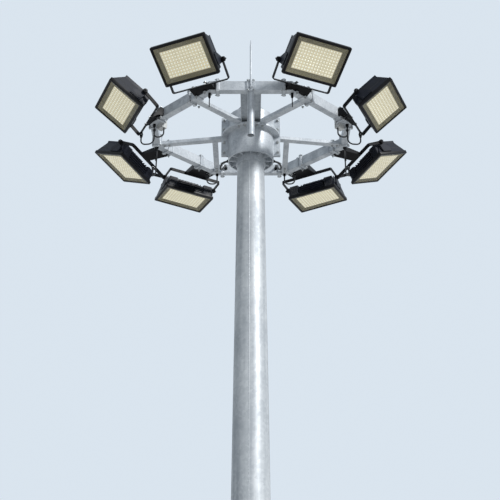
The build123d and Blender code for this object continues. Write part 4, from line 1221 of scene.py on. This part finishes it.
    def led_board(self) -> None:
        """Build the cream board with its own UV map, and the LED packages in rows on it."""
        piece = Piece()
        lift = self.forward - self.reflector_depth
        uv = piece.bm.loops.layers.uv.new("board")
        matrix = shifted(Matrix.Identity(4), z=lift + 0.0010) @ Matrix.Diagonal((*self.board, 1, 1))
        bmesh.ops.create_grid(piece.bm, x_segments=1, y_segments=1, size=0.5, matrix=matrix)
        for face in piece.bm.faces:
            for loop in face.loops:
                loop[uv].uv = (loop.vert.co.x / self.board[0] + 0.5, loop.vert.co.y / self.board[1] + 0.5)
        bmesh.ops.transform(piece.bm, matrix=self.face, verts=piece.bm.verts)
        piece.finish(f"{self.name}_board", self.name, Slot.FRONT, self.finishes.board)
        chips = Piece()
        columns, rows = (
            [(number - (count - 1) / 2) * (size - margin) / (count - 1) for number in range(count)]
            for count, size, margin in zip(self.led_grid, self.board, self.led_margins)
        )
        foot_radius, top_radius = self.led_radii
        for x in columns:
            for y in rows:
                chips.rod(foot_radius, self.led_height, shifted(self.face, x, y, lift + 0.0008),
                          end_radius=top_radius, segments=8)
        chips.finish(f"{self.name}_leds", self.name, Slot.FRONT, self.finishes.phosphor, smooth_angle=50.0)

    def glass(self) -> None:
        """Build the cover glass inside the rim."""
        piece = Piece()
        size = (self.width - 2 * self.rim, self.height - 2 * self.rim, self.glass_thickness)
        piece.block(size, (0, 0, self.forward - self.glass_sunk), self.face)
        piece.finish(f"{self.name}_glass", self.name, Slot.FRONT, self.finishes.glass)

    def rim_screws(self) -> None:
        """Build the small dark screws round the frame."""
        piece = Piece()
        outward = self.lamp.to_3x3() @ UP
        for x in self.screw_x:
            for y in self.screw_y:
                at = self.face @ Vector((x, y, self.forward - 0.0002))
                piece.rod(*self.screw, facing_matrix(at, outward), segments=12, bevel=0.0004)
        piece.finish(f"{self.name}_rim_screws", self.name, Slot.FRONT, self.finishes.dark_bolt)

    def body_size(self, behind: float) -> tuple[float, float]:
        """Width and height of the housing at a distance behind the frame."""
        share = behind / self.body_depth
        width, height = (
            full - 2 * self.body_margin - 2 * taper * share
            for full, taper in zip((self.width, self.height), self.body_taper)
        )
        return width, height

    def seals(self) -> None:
        """Build the rubber seal behind the frame and the seam round the housing."""
        piece = Piece()
        for behind, proud, thick in self.seal_bands:
            width, height = self.body_size(behind)
            piece.block((width + 2 * proud, height + 2 * proud, thick), (0, 0, self.back - behind), self.face,
                        bevel=0.0008, segments=1)
        piece.finish(f"{self.name}_seals", self.name, Slot.CABLE, self.finishes.rubber)

    def driver_lid(self) -> None:
        """Build the driver box's lid with its screws and breather."""
        width, height, depth = self.driver
        lid = Piece()
        back = self.back - self.body_depth - depth
        plate = (width - self.lid_margin, height - self.lid_margin, self.lid_thickness)
        lid.block(plate, (0, 0, back - self.lid_thickness / 2), self.face, bevel=0.0015)
        panel_x, panel_y = self.lid_panel_margins
        panel = (width - panel_x, height - panel_y, self.lid_panel_thickness)
        lid.block(panel, (0, 0, back - 0.0050), self.face, bevel=0.0012)
        lid.finish(f"{self.name}_driver_lid", self.name, Slot.HOUSING, self.finishes.housing)
        screws = Piece()
        behind = self.lamp.to_3x3() @ DOWN
        for x in self.lid_screw_x:
            for y in self.lid_screw_y:
                screws.bolt(self.face @ Vector((x, y, back - 0.0038)), behind, self.lid_screw)
        vent = self.face @ Vector((self.vent_x, 0, back - 0.0063))
        screws.rod(*self.vent_nut, facing_matrix(vent, behind), segments=6)
        screws.rod(*self.vent_cap, facing_matrix(vent + behind * self.vent_nut[1], behind), segments=20, bevel=0.001)
        screws.finish(f"{self.name}_driver_screws", self.name, Slot.HOUSING, self.finishes.dark_bolt)

    def ribs(self) -> None:
        """Build the short ribs on the two end blocks and the lips of the finned side between them."""
        piece = Piece()
        low_y = -self.body_size(0.0)[1] / 2
        half_back = self.body_size(self.body_depth)[0] / 2
        block_width, block_depth = self.end_block
        for way in BOTH:
            middle = way * (half_back - block_width / 2)
            for number in range(self.end_ribs):
                x = middle + (number - (self.end_ribs - 1) / 2) * self.end_rib_pitch
                centre = (x, low_y - 0.0020, self.back - block_depth / 2)
                piece.block((*self.end_rib, block_depth - self.end_rib_short), centre, self.face, bevel=0.001,
                            segments=1)
        inner = half_back - block_width - self.side_rib_gap
        for number in range(self.side_ribs):
            x = -inner + (number + 0.5) * 2 * inner / self.side_ribs
            piece.block(self.side_rib, (x, low_y + self.side_rib_up, self.back - self.side_rib_back), self.face)
        piece.finish(f"{self.name}_ribs", self.name, Slot.HOUSING, self.finishes.housing)

    def lug_bolts(self) -> None:
        """Build the bolts that hold each pivot lug to the housing."""
        piece = Piece()
        for way in BOTH:
            outward = self.axis * way
            for y in self.lug_bolt_y:
                at = self.lamp @ Vector((way * (self.yoke_inner - 0.0011), y, self.lug_bolt_z))
                piece.rod(*self.lug_bolt, facing_matrix(at, outward), segments=6)
        piece.finish(f"{self.name}_lug_bolts", self.name, Slot.HOUSING, self.finishes.dark_bolt)

    def knobs(self) -> None:
        """Build the grips round each pivot knob, and its bolt."""
        grips = Piece()
        bolts = Piece()
        radius, length = self.knob
        for way in BOTH:
            outward = self.axis * way
            foot = self.pivot + outward * (self.yoke_inner + self.yoke_thickness)
            place = facing_matrix(foot, outward)
            for number in range(self.knob_grips):
                turn = place @ Matrix.Rotation(math.tau * number / self.knob_grips, 4, "Z")
                grips.rod(self.grip_radius, length - 0.002, shifted(turn, radius, z=0.001), segments=8, bevel=0.0006)
            grips.rod(radius + 0.005, 0.0025, place, segments=32, bevel=0.0006)
            bolts.bolt(foot + outward * length, outward, self.knob_bolt, shank=0.004)
        grips.finish(f"{self.name}_knob_grips", ROOT, Slot.BLACK, self.finishes.black)
        bolts.finish(f"{self.name}_knob_bolts", ROOT, Slot.BLACK, self.finishes.dark_bolt)

    def crossbar_bolts(self) -> None:
        """Build the two bolts that hold the yoke's crossbar to its bracket."""
        piece = Piece()
        for way in BOTH:
            across = way * self.crossbar_bolt_share * self.aim.width
            at = self.bracket_end + self.arm * self.yoke_thickness + self.axis * across
            piece.bolt(at, self.arm, self.crossbar_bolt)
        piece.finish(f"{self.name}_crossbar_bolts", ROOT, Slot.ZINC, self.finishes.bolt)

    def straps(self) -> None:
        """Build the straps that clamp the bracket round the ring's bar, with their long bolts."""
        plates = Piece()
        bolts = Piece()
        width, thick = self.strap
        half = SIZES.bar_height / 2
        for distance in self.aim.straps:
            face = self.corner_point + self.along * distance + UP * (SIZES.ring_z + half)
            place = frame_matrix(face, self.along, UP)
            inside = 1.0 if (place.to_3x3() @ Vector((0, 1, 0))).dot(self.inward) > 0 else -1.0
            middle = inside * (SIZES.bar_width / 2 - self.strap_shift)
            for up in BOTH:
                plates.block((width, SIZES.bar_width + self.strap_over, thick),
                             (0, middle, up * (half + self.strap_off)), place, bevel=0.001)
            plates.block((width, thick, SIZES.bar_height + self.strap_web_over),
                         (0, inside * (SIZES.bar_width + self.strap_off), 0), place, bevel=0.001)
            out = face - self.inward * self.strap_bolt_out
            for up in BOTH:
                bolts.bolt(out + UP * (up * (half + thick)), UP * up, self.strap_bolt, shank=0.010 * (up < 0))
            bolts.rod(self.strap_bolt / 2, 2 * half, Matrix.Translation(out - UP * half), segments=12)
        plates.finish(f"{self.name}_straps", ROOT, Slot.ZINC, self.finishes.zinc)
        bolts.finish(f"{self.name}_strap_bolts", ROOT, Slot.ZINC, self.finishes.bolt)

    def clip_fittings(self) -> None:
        """Build the sleeve and the screws at the clip that holds the cable's end."""
        if self.aim.clip is None:
            return
        out, across, lift = self.aim.clip
        foot = self.bar_middle + self.out * out - self.axis * (self.side.value * across) + UP * lift
        sleeve = Piece()
        low, high = self.sleeve_radii
        sleeve.rod(low, self.sleeve_length, Matrix.Translation(foot - UP * self.sleeve_length), end_radius=high,
                   segments=20, bevel=0.0008)
        sleeve.finish(f"{self.name}_clip_sleeve", ROOT, Slot.CABLE, self.finishes.rubber)
        screws = Piece()
        for direction in (NEAR_WAY, Vector((-self.side.value, 0, 0))):
            screws.bolt(foot + (UP + direction) * self.clip_screw_out, direction, self.clip_screw)
        screws.finish(f"{self.name}_clip_screws", ROOT, Slot.ZINC, self.finishes.bolt)

    def build(self) -> None:
        """Add the floodlight's pieces."""
        self.front()
        self.led_board()
        self.glass()
        self.rim_screws()
        self.seals()
        self.driver_lid()
        self.ribs()
        self.lug_bolts()
        self.knobs()
        self.crossbar_bolts()
        self.straps()
        self.clip_fittings()


@dataclass
class Wiring:
    """Gland nuts, junction box lids and hanging rods under the ring and the hub."""

    finishes: Finishes
    gland_length: float = 0.018
    gland_radius: float = 0.012
    ring_glands: tuple[tuple[int, float, float], ...] = (
        (1, 0.030, 0.095), (1, 0.038, 0.015), (2, 0.028, -0.020), (3, 0.020, -0.028))
    gland_foot: tuple[float, float] = (1.30, 0.006)
    gland_cap: tuple[float, float] = (1.12, 0.007)
    gland_seal: tuple[float, float, float] = (1.05, 0.75, 0.006)
    far_gland_x: float = 0.245
    hub_gland_angle: float = 150.0
    hub_gland_rise: float = 0.072
    hub_gland_length: float = 0.040
    hub_gland_radius: float = 0.014
    box: tuple[float, float, float] = (0.076, 0.045, 0.090)
    box_from_corner: float = 0.066
    lid_over: float = 0.003
    lid_thickness: float = 0.009
    lid_screw: tuple[float, float] = (0.0042, 0.0022)
    lid_screw_at: tuple[float, float] = (0.030, 0.037)
    boss_radius: float = 0.013
    tip: tuple[float, float] = (0.010, 0.010)
    rod_radius: float = 0.0042
    rod_feet: tuple[tuple[float, ...], ...] = ((-0.350, -0.722, 0.040, 0.135), (-0.884, 0.212, 0.012, 0.140))

    def gland_nut(self, piece: Piece, foot: Vector, direction: Vector, length: float, radius: float) -> None:
        """Add the nut at a gland's foot and the ribbed cap at its end.

        Args:
            piece: The piece to add to.
            foot: Middle of the gland on its surface.
            direction: Direction out of that surface.
            length: The gland's length.
            radius: The gland's radius.
        """
        place = facing_matrix(foot, direction)
        foot_share, foot_height = self.gland_foot
        cap_share, cap_height = self.gland_cap
        seal_share, tip_share, seal_height = self.gland_seal
        piece.rod(radius * foot_share, foot_height, place, segments=6)
        cap = shifted(place, z=length - cap_height)
        piece.rod(radius * cap_share, cap_height, cap, segments=10)
        piece.rod(radius * seal_share, seal_height, shifted(cap, z=cap_height), end_radius=radius * tip_share,
                  segments=20)

    def glands(self) -> None:
        """Build the nuts and caps of all the glands."""
        piece = Piece()
        angle = math.radians(self.hub_gland_angle)
        hub_z = SIZES.ring_z - SIZES.hub_below + self.hub_gland_rise
        wall = Vector((-self.far_gland_x, SIZES.half_depth - SIZES.bar_width, SIZES.ring_z + SIZES.bar_height / 2))
        for side in Side:
            mirror = side.mirror()
            for corner, x, y in self.ring_glands:
                foot = (SIZES.corners()[corner] + Vector((x, y, SIZES.ring_z))) * mirror
                self.gland_nut(piece, foot, DOWN, self.gland_length, self.gland_radius)
            outward = Vector((math.cos(angle), math.sin(angle), 0.0)) * mirror
            at = outward * SIZES.hub_radius + UP * hub_z
            self.gland_nut(piece, at, outward, self.hub_gland_length, self.hub_gland_radius)
            self.gland_nut(piece, wall * mirror, NEAR_WAY, self.gland_length, self.hub_gland_radius)
        piece.finish("gland_nuts", ROOT, Slot.BLACK, self.finishes.black)

    def box_lids(self) -> None:
        """Build the lids of the junction boxes with their screws."""
        lids = Piece()
        screws = Piece()
        width, depth, height = self.box
        for side in Side:
            along = -SIZES.along(0) * side.mirror()
            inside = SIZES.inward(0) * side.mirror()
            middle = SIZES.corners()[1] * side.mirror() + along * self.box_from_corner
            front = middle + inside * (SIZES.bar_width + depth) + UP * SIZES.ring_z
            place = frame_matrix(front, along, inside)
            size = (width + self.lid_over, height + self.lid_over, self.lid_thickness)
            lids.block(size, (0, 0, 0.0005), place, bevel=0.002)
            x, y = self.lid_screw_at
            for at in ((-x, -y), (-x, y), (x, -y), (x, y)):
                screws.rod(*self.lid_screw, shifted(place, *at, 0.0045), segments=14, bevel=0.0005)
        lids.finish("junction_lids", ROOT, Slot.BOX, self.finishes.box)
        screws.finish("junction_screws", ROOT, Slot.ZINC, self.finishes.bolt)

    def hanging_rods(self) -> None:
        """Build the thin rods that hang under the ring, each from a black boss."""
        rods = Piece()
        for side in Side:
            for x, y, boss, drop in self.rod_feet:
                foot = Vector((x, y, SIZES.ring_z)) * side.mirror()
                end = facing_matrix(foot + DOWN * boss, DOWN)
                rods.rod(self.boss_radius, boss, facing_matrix(foot, DOWN), segments=6, bevel=0.001)
                rods.rod(*self.tip, end, end_radius=0.006, segments=16)
                rods.rod(self.rod_radius, drop - boss, end, segments=12, bevel=0.001)
        rods.finish("hanging_rods", ROOT, Slot.BLACK, self.finishes.black)

    def build(self) -> None:
        """Add the wiring's pieces."""
        self.glands()
        self.box_lids()
        self.hanging_rods()


# Stage


@dataclass
class Studio:
    """A pale floor and backdrop, soft light, and the camera at the picture's angle."""

    camera_down: float = 4.59
    camera_back: float = 7.947
    pitch: float = 23.5
    focal_px: float = 998.0
    centre_px: float = 0.8
    image_px: float = 500.0
    sensor: float = 36.0
    floor_drop: float = 0.002
    floor_half: float = 60.0
    floor_colours: tuple[Colour, Colour] = ((0.80, 0.80, 0.79, 1), (0.84, 0.84, 0.83, 1))
    sky_light: tuple[Colour, float] = ((0.82, 0.90, 1.0, 1.0), 0.21)
    sky_shown: tuple[Colour, float] = ((0.70, 0.78, 0.86, 1.0), 1.0)
    suns: tuple[tuple[str, tuple[float, float, float], float, float], ...] = (
        ("key", (-0.66, 0.58, -0.48), 2.9, 8.0), ("fill", (-0.30, 0.76, 0.58), 0.85, 80.0))

    def floor(self) -> None:
        """Build the plain pale floor."""
        made = bmesh.new()
        bmesh.ops.create_grid(made, x_segments=1, y_segments=1, size=self.floor_half,
                              matrix=Matrix.Translation((0, 0, -self.floor_drop)))
        mesh = bpy.data.meshes.new("floor")
        made.to_mesh(mesh)
        made.free()
        sheet = MaterialSheet("floor_pale")
        noise = sheet.noise(sheet.place(), 0.6)
        sheet.paint({"Base Color": sheet.blend(noise, *self.floor_colours), "Roughness": 0.9})
        mesh.materials.append(sheet.material)
        floor = bpy.data.objects.new("floor", mesh)
        bpy.context.scene.collection.objects.link(floor)

    def world(self) -> None:
        """Light the tower evenly and show a pale backdrop to the camera and in reflections."""
        world = bpy.data.worlds.new("studio")
        bpy.context.scene.world = world
        world.use_nodes = True
        sheet = NodeSheet(world.node_tree)
        world.node_tree.nodes.clear()
        soft, shown = (
            sheet.add("ShaderNodeBackground", {"Color": colour, "Strength": strength})
            for colour, strength in (self.sky_light, self.sky_shown)
        )
        path = sheet.add("ShaderNodeLightPath").outputs
        mirrored = sheet.maths("MAXIMUM", path["Is Glossy Ray"], path["Is Transmission Ray"])
        seen = sheet.maths("MAXIMUM", path["Is Camera Ray"], mirrored)
        mix = sheet.add("ShaderNodeMixShader", {0: seen, 1: soft.outputs[0], 2: shown.outputs[0]})
        sheet.add("ShaderNodeOutputWorld", {"Surface": mix.outputs["Shader"]})

    def lamps(self) -> None:
        """Add the key lamp from the near right and a wide fill from the near side below."""
        for name, direction, strength, softness in self.suns:
            data = bpy.data.lights.new(name, "SUN")
            data.energy = strength
            data.angle = math.radians(softness)
            lamp = bpy.data.objects.new(name, data)
            lamp.rotation_euler = Vector(direction).to_track_quat("-Z", "Y").to_euler()
            bpy.context.scene.collection.objects.link(lamp)

    def camera(self) -> None:
        """Set the camera where the picture was taken from."""
        data = bpy.data.cameras.new("camera")
        data.sensor_width = self.sensor
        data.lens = self.sensor * self.focal_px / self.image_px
        data.shift_x = -self.centre_px / self.image_px
        data.clip_end = 200.0
        data.dof.use_dof = False
        camera = bpy.data.objects.new("camera", data)
        camera.location = (0.0, -self.camera_back, SIZES.ring_z - self.camera_down)
        camera.rotation_euler = (math.radians(90.0 + self.pitch), 0.0, 0.0)
        bpy.context.scene.collection.objects.link(camera)
        bpy.context.scene.camera = camera

    def build(self) -> None:
        """Build the stage."""
        self.floor()
        self.world()
        self.lamps()
        self.camera()
        bpy.context.scene.view_settings.view_transform = "Standard"


def main() -> None:
    """Build the tower's looks, its stage and its camera."""
    logging.basicConfig(level=logging.INFO, format="%(name)s %(message)s")
    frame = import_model()
    nodes = frame["nodes"]
    finishes = Finishes()
    finishes.dress(nodes)
    for assembly in (Mast, Ring, Hub, Wiring):
        assembly(finishes).build()
    for setting in Setting:
        for side in Side:
            Floodlight(setting, side, finishes).build()
    Studio().build()


if __name__ == "__main__":
    main()
